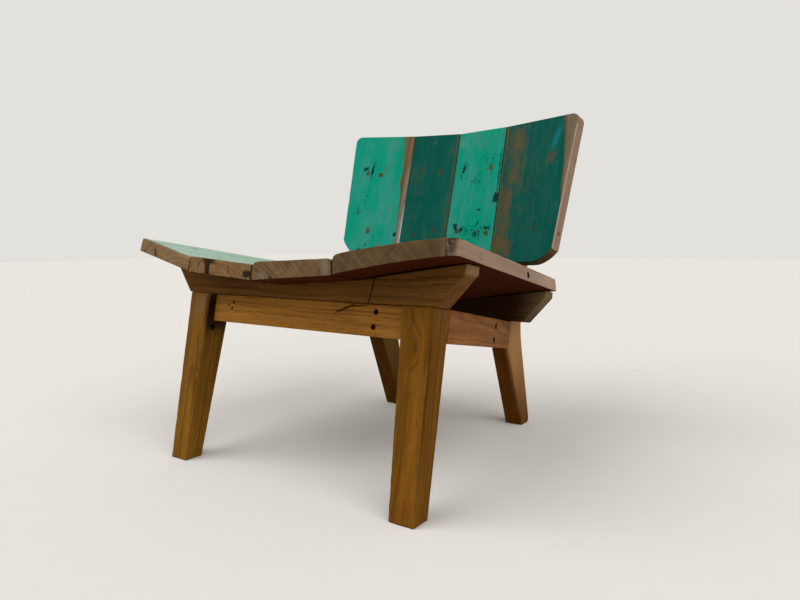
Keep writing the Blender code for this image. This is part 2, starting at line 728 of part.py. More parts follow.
def build_screws(seat, back, legs, posts, bearers, battens):
    """The screws down through the front bearer and back through the rear bearer and the battens."""
    apron_tenon = FRONT_LEG_SPAN / 2 - FRONT_LEG_WIDTH + TENON_LENGTH
    side_tenon = FRONT_LEG_SPAN / 2 - (APRON_THICKNESS + TENON_THICKNESS) / 2
    leg_x = (apron_tenon + side_tenon) / 2
    lines = facets(*seat_edges(0.0))
    downward = (0.0, 0.0, 0.0)
    rearward = (math.radians(90), 0.0, 0.0)
    sides = zip((-1, 1), ("left", "right"), (0, -1), legs, posts)
    for side, word, outer, leg, post in sides:
        start, slope = lines[outer]
        under = start + slope * side * leg_x + SEAT_BOARD_THICKNESS * math.hypot(1.0, slope)
        head = SEAT_RISE - under - abs(slope) * SCREW_HEAD_RADIUS - HEAD_SINK
        wood_screw(
            f"front_bearer_screw_{word}", seat, (side * leg_x, BEARER_THICKNESS / 2, head),
            head + LEG_SCREW_GRIP, downward, (bearers[0], leg),
        )
        wood_screw(
            f"rear_bearer_screw_{word}", seat,
            (side * POST_MIDDLE, BEARER_SPACING + HEAD_SINK, BEARER_CORE - SCREW_HEAD_RADIUS),
            BEARER_THICKNESS + POST_SCREW_GRIP, rearward, (bearers[1], post),
        )
        _, slope = BACK_LINES[outer]
        face = outer_rear(side * POST_MIDDLE) + abs(slope) * SCREW_HEAD_RADIUS + HEAD_SINK
        for batten, drop in zip(battens, (UPPER_BATTEN_DROP, LOWER_BATTEN_DROP)):
            wood_screw(
                f"{batten.name}_screw_{word}", back, (side * POST_MIDDLE, face, BACK_HEIGHT - drop),
                LAP_BEHIND - face + BATTEN_SCREW_GRIP, rearward, (batten, post),
            )


def build_old_holes(seat, left_leg, front_apron, side_apron, outer_board):
    """The bolt, nail and peg holes that the reclaimed wood brought with it."""
    leg_inner = FRONT_LEG_SPAN / 2 - FRONT_LEG_WIDTH
    runs = (
        ("bolt", 1, FRONT_APRON_BOLT_HOLES, BOLT_HOLE_RADIUS),
        ("nail", -1, FRONT_APRON_NAIL_HOLES, NAIL_HOLE_RADIUS),
    )
    for word, side, holes, radius in runs:
        for index, (inset, drop) in enumerate(holes):
            place = (side * (leg_inner - inset), FRONT_APRON_SETBACK, -drop)
            old_hole(f"front_apron_{word}_hole_{index}", seat, front_apron, place, 0.0, radius)
    toe_in = side_toe_in(1)
    for index, (inset, drop) in enumerate(SIDE_APRON_BOLT_HOLES):
        place = (POST_OUTER + inset * math.tan(toe_in), POST_FACE - inset, -drop)
        heading = math.radians(90) + toe_in
        old_hole(f"side_apron_bolt_hole_{index}", seat, side_apron, place, heading, BOLT_HOLE_RADIUS)
    inward = math.radians(90)
    peg_drop = FRONT_APRON_HEIGHT + PEG_HOLE_BELOW_APRON
    peg_face = FRONT_LEG_SPAN / 2 - front_leg_face(FRONT_LEG_WIDTH, FRONT_FOOT_WIDTH, -peg_drop)
    place = (-peg_face, PEG_HOLE_SETBACK, -peg_drop)
    old_hole("front_leg_peg_hole", seat, left_leg, place, inward, PEG_HOLE_RADIUS)
    along = SEAT_REACH - RING_BOLT_FROM_REAR
    edge = seat_edges(along)[0][-1]
    place = (edge, along, SEAT_RISE - SEAT_BOARD_THICKNESS / 2)
    old_hole("seat_ring_bolt_hole", seat, outer_board, place, inward, RING_BOLT_HOLE_RADIUS)


def centre_on_floor(root):
    """Moves the chair so that its origin is the bottom centre of its box."""
    bpy.context.view_layer.update()
    graph = bpy.context.evaluated_depsgraph_get()
    corners = []
    for obj in parts.objects:
        if obj.type == "MESH":
            evaluated = obj.evaluated_get(graph)
            corners += [evaluated.matrix_world @ Vector(corner) for corner in evaluated.bound_box]
    for axis in (0, 1):
        values = [corner[axis] for corner in corners]
        root.location[axis] -= (min(values) + max(values)) / 2
    root.location.z -= min(corner.z for corner in corners)


def main():
    """Clears the scene and builds the chair."""
    for obj in list(bpy.data.objects):
        bpy.data.objects.remove(obj, do_unlink=True)
    bpy.context.scene.collection.children.link(parts)
    bpy.context.scene.collection.children.link(cutters)
    root = empty("chair", None, (0.0, 0.0, 0.0), 0.0)
    seat = empty("seat_plane", root, (0.0, *from_seat(0.0, 0.0)), SEAT_TILT)
    back = empty("back_plane", root, (0.0, *BACK_BASE), BACK_LEAN)
    legs = build_front_legs(root)
    posts = build_rear_posts(root)
    front_apron, _ = build_cross_aprons(seat, legs, posts)
    side_aprons = build_side_aprons(seat, legs, posts)
    bearers = build_bearers(seat)
    boards = build_seat_boards(seat)
    build_back_boards(back)
    battens = build_battens(back, posts)
    build_screws(seat, back, legs, posts, bearers, battens)
    build_old_holes(seat, legs[0], front_apron, side_aprons[1], boards[-1])
    centre_on_floor(root)


main()
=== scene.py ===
"""Looks for a lounge chair of reclaimed boat teak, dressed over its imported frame.

Four painted planks make the hollow back and four more the hollow seat, on a frame of tapered legs, raked
posts, aprons and dished bearers. Planks, legs and aprons are new surfaces: each takes its corners from the
solid that it replaces, gets eased arrises, the relief of hand work and wear, and carries the attributes
that its finish reads. Posts, bearers, battens and screws keep their solids and get finishes of their own.
Lengths are metres in the chair's own frame: it faces -Y, +X is to the right of someone facing it, +Z is up.
"""

import itertools
import logging
import math
from dataclasses import dataclass, field, replace
from enum import Enum
from functools import partial
from typing import Any

import bmesh
import bpy
import numpy as np
from mathutils import Matrix


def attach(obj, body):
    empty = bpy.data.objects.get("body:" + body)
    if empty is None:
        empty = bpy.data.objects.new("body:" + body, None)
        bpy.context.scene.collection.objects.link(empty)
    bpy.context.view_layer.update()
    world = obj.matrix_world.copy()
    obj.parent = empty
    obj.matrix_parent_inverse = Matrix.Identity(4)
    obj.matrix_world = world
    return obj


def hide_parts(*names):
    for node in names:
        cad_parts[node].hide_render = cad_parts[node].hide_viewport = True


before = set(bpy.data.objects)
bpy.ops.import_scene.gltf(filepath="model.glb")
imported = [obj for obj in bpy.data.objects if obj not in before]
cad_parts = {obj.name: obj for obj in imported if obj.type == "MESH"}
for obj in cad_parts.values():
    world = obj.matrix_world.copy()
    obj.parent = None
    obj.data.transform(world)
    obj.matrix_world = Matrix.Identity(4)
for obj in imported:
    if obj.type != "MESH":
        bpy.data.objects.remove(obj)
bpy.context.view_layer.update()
LOG = logging.getLogger("lounge_chair")
MM = 0.001

Triple = tuple[float, float, float]
Pair = tuple[float, float]
Socket = bpy.types.NodeSocket


class Facing(Enum):
    """Which way a marked face looks: a mark's two chair axes, the third axis, its sign, its least share."""

    FRONT = (0, 2, 1, -1, 0.25)
    RIGHT = (1, 2, 0, 1, 0.80)
    TOP = (0, 1, 2, 1, 0.25)

    def seen(self, normals: np.ndarray) -> np.ndarray:
        """Tells which normals look this way."""
        _, _, third, sign, least = self.value
        return normals[:, third] * sign > least


class Side(Enum):
    """A face of a timber, as its place in the list of the timber's six planes."""

    NEAR = 0
    FAR = 1
    LEFT = 2
    RIGHT = 3
    BACK = 4
    OUT = 5


class Run(Enum):
    """How the grain of a kept solid runs, as the turn that brings it along the pattern's X axis."""

    CROSSWISE = (0.0, 0.0, 0.0)
    UPRIGHT = (0.0, math.pi / 2, 0.0)


def linear(colour: str) -> tuple[float, float, float, float]:
    """Turns an sRGB hex colour into linear red, green, blue and alpha.

    Args:
        colour: six hex digits after a hash.

    Returns:
        Linear values from 0 to 1, with alpha 1.
    """
    parts = [int(colour[i : i + 2], 16) / 255 for i in (1, 3, 5)]
    red, green, blue = (p / 12.92 if p <= 0.04045 else ((p + 0.055) / 1.055) ** 2.4 for p in parts)
    return red, green, blue, 1.0


def value_noise(points: np.ndarray, seed: int) -> np.ndarray:
    """Smooth noise in space: random values on a unit lattice, blended by a smooth cubic in each direction.

    Args:
        points: places in lattice units, n by 3.
        seed: picks the lattice of values.

    Returns:
        A value from 0 to 1 for each point.
    """
    cell = np.floor(points).astype(np.int64)
    part = points - cell
    part = part * part * (3 - 2 * part)
    total = np.zeros(len(points))
    for corner in itertools.product((0, 1), repeat=3):
        # Large odd numbers scatter neighbouring cells over the values.
        mixed = (cell + corner) @ np.array([73856093, 19349663, 83492791]) + seed * 97531
        mixed = ((mixed ^ (mixed >> 13)) * 1274126177) & 0x7FFFFFFF
        share = np.where(corner, part, 1 - part).prod(axis=1)
        total += share * (((mixed >> 8) ^ mixed) & 0xFFFF) / 0xFFFF
    return total


def smooth(values: np.ndarray, low: float, high: float) -> np.ndarray:
    """Smooth step from 0 at low to 1 at high."""
    part = np.clip((values - low) / (high - low), 0, 1)
    return part * part * (3 - 2 * part)


def closing(count: float) -> np.ndarray:
    """Steps from 0 to 1 that close up towards both ends: t - 0.45 sin(2 pi t) / (2 pi)."""
    even = np.linspace(0, 1, max(int(round(count)), 6) + 1)
    return even - 0.45 * np.sin(2 * np.pi * even) / (2 * np.pi)


def grid_faces(index: np.ndarray) -> np.ndarray:
    """Quads of a grid of point numbers, rows by columns, facing columns x rows."""
    corners = (index[:-1, :-1], index[:-1, 1:], index[1:, 1:], index[1:, :-1])
    return np.stack(corners, axis=-1).reshape(-1, 4)


def mesh_piece(name: str, points: np.ndarray, faces: np.ndarray) -> bpy.types.Object:
    """Puts points and quads into a new object at the origin.

    Args:
        name: the piece's name.
        points: places, n by 3.
        faces: point numbers, m by 4.

    Returns:
        The new object, linked to the scene and shaded smooth, with points that coincide at a pole made one.
    """
    mesh = bpy.data.meshes.new(name)
    mesh.from_pydata(points.tolist(), [], faces.tolist())
    welded = bmesh.new()
    welded.from_mesh(mesh)
    bmesh.ops.remove_doubles(welded, verts=welded.verts, dist=1e-7)
    welded.to_mesh(mesh)
    welded.free()
    mesh.shade_smooth()
    piece = bpy.data.objects.new(name, mesh)
    bpy.context.scene.collection.objects.link(piece)
    return piece


def put(mesh: bpy.types.Mesh, name: str, values: np.ndarray) -> None:
    """Writes one number or vector for each point of a mesh as a named attribute.

    Args:
        mesh: the mesh.
        name: the attribute's name.
        values: n values, or n by 3.
    """
    kind, member = ("FLOAT_VECTOR", "vector") if values.ndim == 2 else ("FLOAT", "value")
    layer = mesh.attributes.new(name, kind, "POINT")
    layer.data.foreach_set(member, np.ascontiguousarray(values, dtype=np.float32).ravel())


def read(mesh: bpy.types.Mesh, member: str) -> np.ndarray:
    """Reads a vector from each point of a mesh.

    Args:
        mesh: the mesh.
        member: co for places, normal for normals.

    Returns:
        The vectors, n by 3.
    """
    values = np.empty(len(mesh.vertices) * 3, np.float32)
    mesh.vertices.foreach_get(member, values)
    return values.reshape(-1, 3).astype(float)


def turned(
    centres: np.ndarray, headings: np.ndarray, radii: np.ndarray, profile: np.ndarray, sides: int
) -> tuple[np.ndarray, np.ndarray]:
    """Turns one profile about several axes: radius times cos and sin across the axis, height along it.

    Args:
        centres: start of each axis, n by 3.
        headings: unit direction of each axis, n by 3.
        radii: radius that scales the profile, n values.
        profile: radius share and height in metres from the inner end to the other, k by 2.
        sides: points in a round.

    Returns:
        Points and quads of closed bodies, whose end rows are points on the axis.
    """
    turn = np.linspace(0, 2 * np.pi, sides, endpoint=False)
    first = np.cross(headings, np.where(np.abs(headings[:, :1]) < 0.8, [[1.0, 0, 0]], [[0, 1.0, 0]]))
    first /= np.linalg.norm(first, axis=1, keepdims=True)
    second = np.cross(headings, first)
    across = np.cos(turn)[:, None] * first[:, None] + np.sin(turn)[:, None] * second[:, None]
    share = profile[:, 0] * radii[:, None]
    points = centres[:, None, None] + share[:, :, None, None] * across[:, None]
    points = points + profile[:, 1][None, :, None, None] * headings[:, None, None]
    index = np.arange(points.size // 3).reshape(points.shape[:3])
    index = np.concatenate([index, index[:, :, :1]], axis=2)
    return points.reshape(-1, 3), np.concatenate([grid_faces(body) for body in index])


@dataclass(frozen=True)
class Nodes:
    """A node tree that is being built."""

    tree: bpy.types.NodeTree

    def wire(self, node: bpy.types.Node, inputs: dict[str | int, Any]) -> None:
        """Sets inputs of a node.

        Args:
            node: the node.
            inputs: a value, or a socket to link from, for each input by name or number.
        """
        for name, value in inputs.items():
            if isinstance(value, Socket):
                self.tree.links.new(value, node.inputs[name])
            else:
                node.inputs[name].default_value = value

    def add(self, kind: str, inputs: dict[str | int, Any], out: int = 0, **settings: Any) -> Socket:
        """Adds a node with its settings and inputs.

        Args:
            kind: the node's Blender name without its ShaderNode prefix.
            inputs: a value or a socket for each input that isn't left as it is.
            out: number of the output to return.
            settings: properties of the node itself.

        Returns:
            The chosen output.
        """
        node = self.tree.nodes.new("ShaderNode" + kind)
        for name, value in settings.items():
            setattr(node, name, value)
        self.wire(node, inputs)
        return node.outputs[out]

    def shade(self, **inputs: Any) -> None:
        """Sets the surface shader's inputs, named with _ for a space."""
        named = {name.replace("_", " "): value for name, value in inputs.items()}
        self.wire(self.tree.nodes["Principled BSDF"], named)

    def attribute(self, name: str, out: int = 2) -> Socket:
        """Reads a number from a mesh's attribute, or a vector with out 1."""
        return self.add("Attribute", {}, out, attribute_name=name)

    def place(self) -> Socket:
        """Reads the place in the object's own axes."""
        return self.add("TexCoord", {}, 3)

    def math(self, operation: str, *values: Any, **settings: Any) -> Socket:
        """Works on numbers."""
        return self.add("Math", dict(enumerate(values)), operation=operation, **settings)

    def vector(self, operation: str, *values: Any, out: int = 0) -> Socket:
        """Works on vectors or colours; out 1 gives a length."""
        return self.add("VectorMath", dict(enumerate(values)), out, operation=operation)

    def plus(self, value: Any, by: Any, other: Any) -> Socket:
        """Multiplies a number by another and adds a third."""
        return self.math("MULTIPLY_ADD", value, by, other)

    def times(self, colour: Any, by: Any) -> Socket:
        """Multiplies a colour or a place by a number, or part by part by another."""
        return self.vector("MULTIPLY", colour, by)

    def ramp(self, value: Any, *ends: float) -> Socket:
        """Maps a range to another: its low and high ends, then what those become, 0 and 1 if left out."""
        return self.add("MapRange", dict(enumerate((value, *ends))))

    def ease(self, value: Any, *ends: float) -> Socket:
        """Does what ramp does, with a smooth start and end."""
        return self.add("MapRange", dict(enumerate((value, *ends))), interpolation_type="SMOOTHSTEP")

    def mix(self, share: Any, first: Any, second: Any) -> Socket:
        """Blends two colours."""
        return self.add("Mix", {0: share, 6: first, 7: second}, 2, data_type="RGBA")

    def noise(self, place: Socket, size: Pair, detail: float, out: int = 0, **inputs: float) -> Socket:
        """Draws noise stretched along the grain.

        Args:
            place: metres along the grain, across it and outwards.
            size: its spacing along the grain and across it, in metres.
            detail: how many finer layers it has.
            out: 0 for a number, 1 for a vector.
            inputs: the noise node's other inputs.

        Returns:
            The noise, from 0 to 1.
        """
        scaled = self.times(place, (1 / size[0], 1 / size[1], 1 / size[1]))
        return self.add("TexNoise", {"Vector": scaled, "Scale": 1.0, "Detail": detail, **inputs}, out)

    def bump(self, height: Socket, depth: float) -> Socket:
        """Turns heights from 0 to 1 into a relief this deep, at half its strength."""
        return self.add("Bump", {"Height": height, "Strength": 0.5, "Distance": depth})


def blank(name: str) -> tuple[bpy.types.Material, Nodes]:
    """Starts a material.

    Args:
        name: the real material's name.

    Returns:
        The material and its nodes, with a surface shader.
    """
    material = bpy.data.materials.new(name)
    material.use_nodes = True
    return material, Nodes(material.node_tree)


@dataclass(frozen=True)
class Mark:
    """One worn or stained place on a face.

    Attributes:
        at: its middle in the two chair axes of the face.
        reach: its half sizes.
        strength: its height at the middle.
        lean: its turn in degrees.
        facing: which way the face looks.
    """

    at: Pair
    reach: Pair
    strength: float
    lean: float
    facing: Facing

    def strengths(self, points: np.ndarray, normals: np.ndarray) -> np.ndarray:
        """Falls off as exp(-(a^4 + b^4)^(1/2)), with a and b the shares of the half sizes.

        Args:
            points: places on the timber, n by 3.
            normals: its normals there.

        Returns:
            The mark's strength at each point.
        """
        offset = points[:, self.facing.value[:2]] - self.at
        turn = math.radians(self.lean)
        a = offset @ (math.cos(turn), math.sin(turn)) / self.reach[0]
        b = offset @ (-math.sin(turn), math.cos(turn)) / self.reach[1]
        bell = np.exp(-np.sqrt(a**4 + b**4))
        return self.strength * bell * self.facing.seen(normals)


def marks(*rows: tuple[float, ...], facing: Facing = Facing.FRONT) -> tuple[Mark, ...]:
    """Makes marks on faces that look one way.

    Args:
        rows: each mark's middle and half sizes in millimetres, its strength, and its turn if it has one.
        facing: which way the faces look.

    Returns:
        The marks.
    """
    return tuple(
        Mark((x * MM, y * MM), (a * MM, b * MM), strength, lean[0] if lean else 0.0, facing)
        for x, y, a, b, strength, *lean in rows
    )


@dataclass(frozen=True)
class Band:
    """A worn strip along one side of a face, whose width changes along the plank.

    Attributes:
        side: the side it follows.
        widths: places along the plank as shares of its length, each with the strip's width there.
        strength: its height at the side.
        facing: which way the face looks.
    """

    side: Side
    widths: tuple[Pair, ...]
    strength: float
    facing: Facing = Facing.FRONT


def band(side: Side, strength: float, *rows: Pair, facing: Facing = Facing.FRONT) -> Band:
    """Makes a worn strip.

    Args:
        side: the side it follows.
        strength: its height at the side.
        rows: places along the plank as shares of its length, each with the width there in millimetres.
        facing: which way the face looks.

    Returns:
        The strip.
    """
    return Band(side, tuple((share, width * MM) for share, width in rows), strength, facing)


@dataclass(frozen=True)
class CornerCut:
    """A round or straight cut across a corner of a timber's outline.

    Attributes:
        radius: of its arc, which leaves the end square, or the width of a straight cut.
        crease: how far along the side it reaches; short of the radius an arc meets the side at a crease.
        straight: whether it is a straight cut.
    """

    radius: float
    crease: float
    straight: bool = False

    def inset(self, y: np.ndarray) -> np.ndarray:
        """Works out how far in the side lies: sqrt(2 r c - c^2) - sqrt(2 r y - y^2) up to the crease c.

        A straight cut of width r lies in by r (1 - y / c).

        Args:
            y: distance from the end.

        Returns:
            The inset at each distance.
        """
        y = np.minimum(y, self.crease)
        if self.straight:
            return self.radius * (1 - y / self.crease)
        return np.sqrt((2 * self.radius - self.crease) * self.crease) - np.sqrt((2 * self.radius - y) * y)


@dataclass(frozen=True)
class WornArris:
    """An arris rounded by wear, between two faces, with its radius at the near and far ends."""

    faces: tuple[Side, Side]
    radii: Pair


@dataclass(frozen=True)
class Hole:
    """An old bolt, nail or peg hole: where it enters, which way it goes in, its radius and its depth."""

    at: Triple
    heading: Triple
    radius: float
    depth: float = 0.014

    def axis(self) -> np.ndarray:
        """Unit direction into the wood."""
        return np.array(self.heading) / np.linalg.norm(self.heading)


@dataclass(frozen=True)
class Teak:
    """Old teak, sawn or planed and oiled.

    Rings cut at a slant give it drifting dark lines, its open pores give short dark dashes, hands and shoes
    rub the arrises pale, sun bleaches bare faces silvery grey, and a painted highlight brightens some worn
    arrises.

    Attributes:
        name: the material's name.
        early: colour of the pale early wood.
        late: colour of the dark late wood.
        rubbed: colour of a rubbed arris.
        silver: colour of wood bleached by sun; on the posts and the shaded bearer it is also painted light.
        unsunned_and_shade: colour of a face that never saw the sun, darkened as painted shade under the seat.
        ring: spacing of the growth rings.
        line: how strongly the rings show.
        pith: offset of the tree's centre from the timber's, across and out.
        drift: how far the rings wander.
        sapwood_and_painted_light: where a kept solid turns pale, from one chair X to another: partly pale
            outer wood, partly painted light on lit faces.
        split: an old split through a kept solid, as its chair X at height 0 and its run in X per metre up.
        roughness: of the oiled surface.
        wander: how far along and across the rings keep their course.
        fibre: size of a bundle of fibres; real ones are under half a millimetre, drawn coarser to show.
        streak: size of the broad streaks.
        pore: size of the dashes of open pores, drawn coarser to show.
    """

    name: str
    early: str
    late: str
    rubbed: str
    silver: str = "#9C8B7E"
    unsunned_and_shade: str = "#4A2410"
    ring: float = 0.0055
    line: float = 0.42
    pith: Pair = (0.020, -0.055)
    drift: float = 0.020
    sapwood_and_painted_light: Pair = (0.0, 0.0)
    split: Pair | None = None
    roughness: float = 0.55
    wander: Pair = (0.34, 0.070)
    fibre: Pair = (0.060, 0.0020)
    streak: Pair = (0.30, 0.024)
    pore: Pair = (0.016, 0.0014)

    def rings(self, nodes: Nodes, place: Socket) -> Socket:
        """Draws the growth rings as distances from a wandering pith, unevenly spaced.

        Args:
            nodes: nodes of the material.
            place: metres along the grain, across it and outwards.

        Returns:
            1 in the dark late wood of a strong ring, 0 in the early wood.
        """
        wander = nodes.noise(place, self.wander, 2.0, 1)
        bent = nodes.vector("MULTIPLY_ADD", wander, (0.0, self.drift, self.drift), place)
        flat = nodes.times(bent, (0.0, 1.0, 1.0))
        distance = nodes.vector("DISTANCE", flat, (0.0, *self.pith), out=1)
        count = nodes.math("DIVIDE", distance, self.ring)
        uneven = nodes.add("TexNoise", {"W": count, "Scale": 0.45, "Detail": 1.0}, noise_dimensions="1D")
        part = nodes.math("FRACT", nodes.plus(uneven, 2.2, count))
        # Late wood darkens over half a ring's width and ends at once.
        line = nodes.math("MULTIPLY", nodes.ease(part, 0.30, 0.88), nodes.ease(part, 1.0, 0.90))
        return nodes.math("MULTIPLY", line, nodes.ramp(uneven, 0.3, 0.7, 0.25, 1.0))

    def wood(self, nodes: Nodes, place: Socket, pale: Socket) -> tuple[Socket, Socket]:
        """Draws the wood in the solid: rings, streaks and fibres, then what sun, hands and dirt did to it.

        Args:
            nodes: nodes of the material.
            place: metres along the grain, across it and outwards.
            pale: share of bleaching; past 1 the wood is also painted brighter, a painted highlight.

        Returns:
            Colour and relief from 0 to 1.
        """
        fibre = nodes.noise(place, self.fibre, 3.0)
        tone = nodes.noise(place, self.streak, 3.0)
        dark = nodes.plus(fibre, 0.80, nodes.plus(self.rings(nodes, place), self.line, -0.62))
        dark = nodes.math("MULTIPLY_ADD", tone, 1.25, dark, use_clamp=True)
        colour = nodes.mix(dark, linear(self.early), linear(self.late))
        dash = nodes.noise(place, self.pore, 1.0)
        colour = nodes.times(colour, nodes.ramp(dash, 0.60, 0.72, 1.0, 0.58))
        # Wood that never saw the sun, darkened as painted shade, and wood that the sun bleached keep the tone
        # of the grain.
        below = nodes.math("MULTIPLY", nodes.attribute("below"), 0.95)
        lit = nodes.ramp(dark, 0.0, 1.0, 1.18, 0.72)
        colour = nodes.mix(below, colour, nodes.times(linear(self.unsunned_and_shade)[:3], lit))
        veil = nodes.math("ADD", nodes.plus(fibre, 0.7, -0.35), pale)
        veil = nodes.ease(veil, 0.05, 0.95)
        # Past 1 the bleached colour is brightened up to 1.8 times, a painted highlight.
        lit = nodes.math("MULTIPLY", lit, nodes.ramp(pale, 1.0, 2.0, 1.0, 1.8))
        colour = nodes.mix(veil, colour, nodes.times(linear(self.silver)[:3], lit))
        rub = nodes.math("ADD", nodes.plus(tone, 1.3, -0.65), nodes.attribute("arris"))
        colour = nodes.mix(nodes.ease(rub, 0.35, 0.95, 0.0, 0.75), colour, linear(self.rubbed))
        # End grain drinks oil and darkens; dirt and painted shade lie as a smudge with little of the fibres'
        # speckle.
        colour = nodes.times(colour, nodes.ramp(nodes.attribute("end"), 0.0, 1.0, 1.0, 0.80))
        smut = nodes.math("ADD", nodes.plus(fibre, 0.3, -0.15), nodes.attribute("soot"))
        colour = nodes.times(colour, nodes.ease(smut, 0.25, 0.80, 1.0, 0.14))
        return colour, nodes.plus(dark, -0.6, fibre)

    def solid_place(self, nodes: Nodes, run: Run) -> tuple[Socket, Socket, Socket]:
        """Finds the grain and the pale span of a kept solid, which has no attributes.

        Args:
            nodes: nodes of the material.
            run: how its grain runs.

        Returns:
            The place in the chair, the place along the grain, and the share of bleaching and painted light.
        """
        solid = nodes.place()
        place = nodes.add("Mapping", {0: solid, "Rotation": run.value})
        pale = nodes.ramp(nodes.add("SeparateXYZ", {0: solid}), *self.sapwood_and_painted_light, 0.0, 0.9)
        # The pale span fades out towards the floor.
        floorward_fade = nodes.ramp(nodes.add("SeparateXYZ", {0: solid}, 2), 0.0, 0.22, 0.18, 1.0)
        return solid, place, nodes.math("MULTIPLY", pale, floorward_fade)

    def gap(self, nodes: Nodes, solid: Socket, split: Pair) -> Socket:
        """Draws a split 4 mm wide with its dirt, which strays by a few millimetres.

        Args:
            nodes: nodes of the material.
            solid: the place in the chair.
            split: its chair X at height 0 and its run in X for each metre up.

        Returns:
            What the wood's colour is multiplied by.
        """
        level = nodes.vector("DOT_PRODUCT", solid, (1.0, 0.0, -split[1]), out=1)
        stray = nodes.add("TexNoise", {"Vector": solid, "Scale": 60.0, "Detail": 3.0})
        level = nodes.plus(stray, 0.012, level)
        apart = nodes.math("COMPARE", level, split[0] + 0.006, 0.0022)
        return nodes.ramp(apart, 0.0, 1.0, 1.0, 0.32)

    def material(self, run: Run | None = None) -> bpy.types.Material:
        """Makes the bare timber's material.

        Args:
            run: how the grain runs in a kept solid; None reads the piece's own attributes.

        Returns:
            The material.
        """
        material, nodes = blank(self.name if run is None else f"{self.name} {run.name.lower()}")
        if run is None:
            colour, relief = self.wood(nodes, nodes.attribute("grain", 1), nodes.attribute("silver"))
        else:
            solid, place, pale = self.solid_place(nodes, run)
            colour, relief = self.wood(nodes, place, pale)
            if self.split:
                colour = nodes.times(colour, self.gap(nodes, solid, self.split))
        # Oil has long sunk in, so the surface mirrors little.
        nodes.shade(
            Base_Color=colour,
            Normal=nodes.bump(relief, 0.0006),
            Roughness=self.roughness,
            Specular_IOR_Level=0.02,
        )
        return material


@dataclass(frozen=True)
class PaintedTeak:
    """Boat paint brushed on teak long ago. It has faded in patches, chipped in flecks, worn through along the
    edges of the plank to brown wood, and gathered black dirt in its chips.

    Attributes:
        name: the material's name.
        sound: colour of sound paint.
        faded: colour of chalked paint.
        deep: colour of paint in the hollows of the brush marks.
        older: colour of an older coat, where the tint attribute asks for it.
        under: the wood below.
        fleck: level of noise past which paint has flaked off in specks.
        smut: level of noise past which specks are black.
        brush: how strongly the hollows of the brush marks show.
        stroke: length and spacing of the brush marks.
        veil: how far worn thin paint gives way to the wood below.
        roughness: of the paint.
        patch: size of the patches in which it faded.
        chip: size of its chips.
        speck: size of its specks.
        grit: size of the grains of dirt.
    """

    name: str
    sound: str
    faded: str
    deep: str
    older: str
    under: Teak
    fleck: float = 0.72
    smut: float = 0.72
    brush: float = 0.22
    stroke: Pair = (0.120, 0.0042)
    veil: float = 0.78
    roughness: float = 0.55
    patch: Pair = (0.120, 0.045)
    chip: Pair = (0.022, 0.008)
    speck: Pair = (0.0055, 0.0040)
    grit: Pair = (0.0046, 0.0025)

    def paint(self, nodes: Nodes, place: Socket, streak: Socket, chip: Socket) -> tuple[Socket, Socket]:
        """Draws the paint where it still covers: faded patches, brush marks, an older coat and black dirt.

        Args:
            nodes: nodes of the material.
            place: metres along the grain, across it and outwards.
            streak: noise of the brush marks.
            chip: noise of the chips.

        Returns:
            Its colour, and the share of light that its dirt leaves.
        """
        fade = nodes.noise(place, self.patch, 4.0, Roughness=0.62)
        chalk = nodes.ease(nodes.plus(streak, 0.22, fade), 0.49, 0.83, 0.0, 0.9)
        colour = nodes.mix(chalk, linear(self.sound), linear(self.faded))
        hollow = nodes.ramp(streak, 0.48, 0.34, 0.0, self.brush)
        colour = nodes.mix(hollow, colour, linear(self.deep))
        tint = nodes.ease(nodes.plus(chip, 0.9, nodes.attribute("tint")), 0.72, 1.05)
        colour = nodes.mix(tint, colour, linear(self.older))
        dirt = nodes.plus(nodes.attribute("soot"), 0.42, nodes.noise(place, self.grit, 2.0))
        dirt = nodes.ramp(dirt, self.smut, self.smut + 0.06, 1.0, 0.16)
        return nodes.times(colour, dirt), dirt

    def worn(self, nodes: Nodes, chip: Socket, speck: Socket) -> Socket:
        """Finds where paint is gone: thin paint is a veil over the wood, and the last of it goes in chips.

        Args:
            nodes: nodes of the material.
            chip: noise of the chips.
            speck: noise of the specks.

        Returns:
            The share of wood that shows.
        """
        wear = nodes.attribute("wear")
        thin = nodes.ease(nodes.plus(chip, 1.2, wear), 0.74, 1.30, 0.0, self.veil)
        ragged = nodes.plus(speck, 0.7, nodes.plus(chip, 1.5, wear))
        bare = nodes.ease(ragged, 1.68, 1.88)
        flake = nodes.ramp(nodes.plus(wear, 0.30, speck), self.fleck, self.fleck + 0.06, 0.0, 0.5)
        return nodes.math("MAXIMUM", nodes.math("MAXIMUM", bare, flake), thin)

    def material(self) -> bpy.types.Material:
        """Makes the plank's material: wood all round, and paint where the paint attribute puts it.

        Returns:
            The material.
        """
        material, nodes = blank(self.name)
        place = nodes.attribute("grain", 1)
        wood, relief = self.under.wood(nodes, place, nodes.attribute("silver"))
        streak = nodes.noise(place, self.stroke, 2.0, Distortion=0.6)
        chip = nodes.noise(place, self.chip, 5.0, Roughness=0.65)
        speck = nodes.noise(place, self.speck, 2.0)
        colour, dirt = self.paint(nodes, place, streak, chip)
        bare = self.worn(nodes, chip, speck)
        unpainted = nodes.ramp(nodes.plus(speck, 0.6, nodes.attribute("paint")), 0.86, 0.72)
        # Paint that sank into the pores leaves worn wood greener than wood that never had any.
        colour = nodes.mix(bare, colour, nodes.times(wood, (0.86, 1.0, 1.0)))
        colour = nodes.mix(unpainted, colour, wood)
        bare = nodes.math("MAXIMUM", bare, unpainted)
        film = nodes.plus(relief, 0.30, nodes.plus(bare, -0.9, dirt))
        film = nodes.plus(streak, 0.35, film)
        # Chalked paint mirrors little.
        nodes.shade(
            Base_Color=colour,
            Normal=nodes.bump(film, 0.0005),
            Roughness=nodes.ramp(bare, 0.0, 1.0, self.roughness, 0.72),
            Specular_IOR_Level=0.01,
        )
        return material


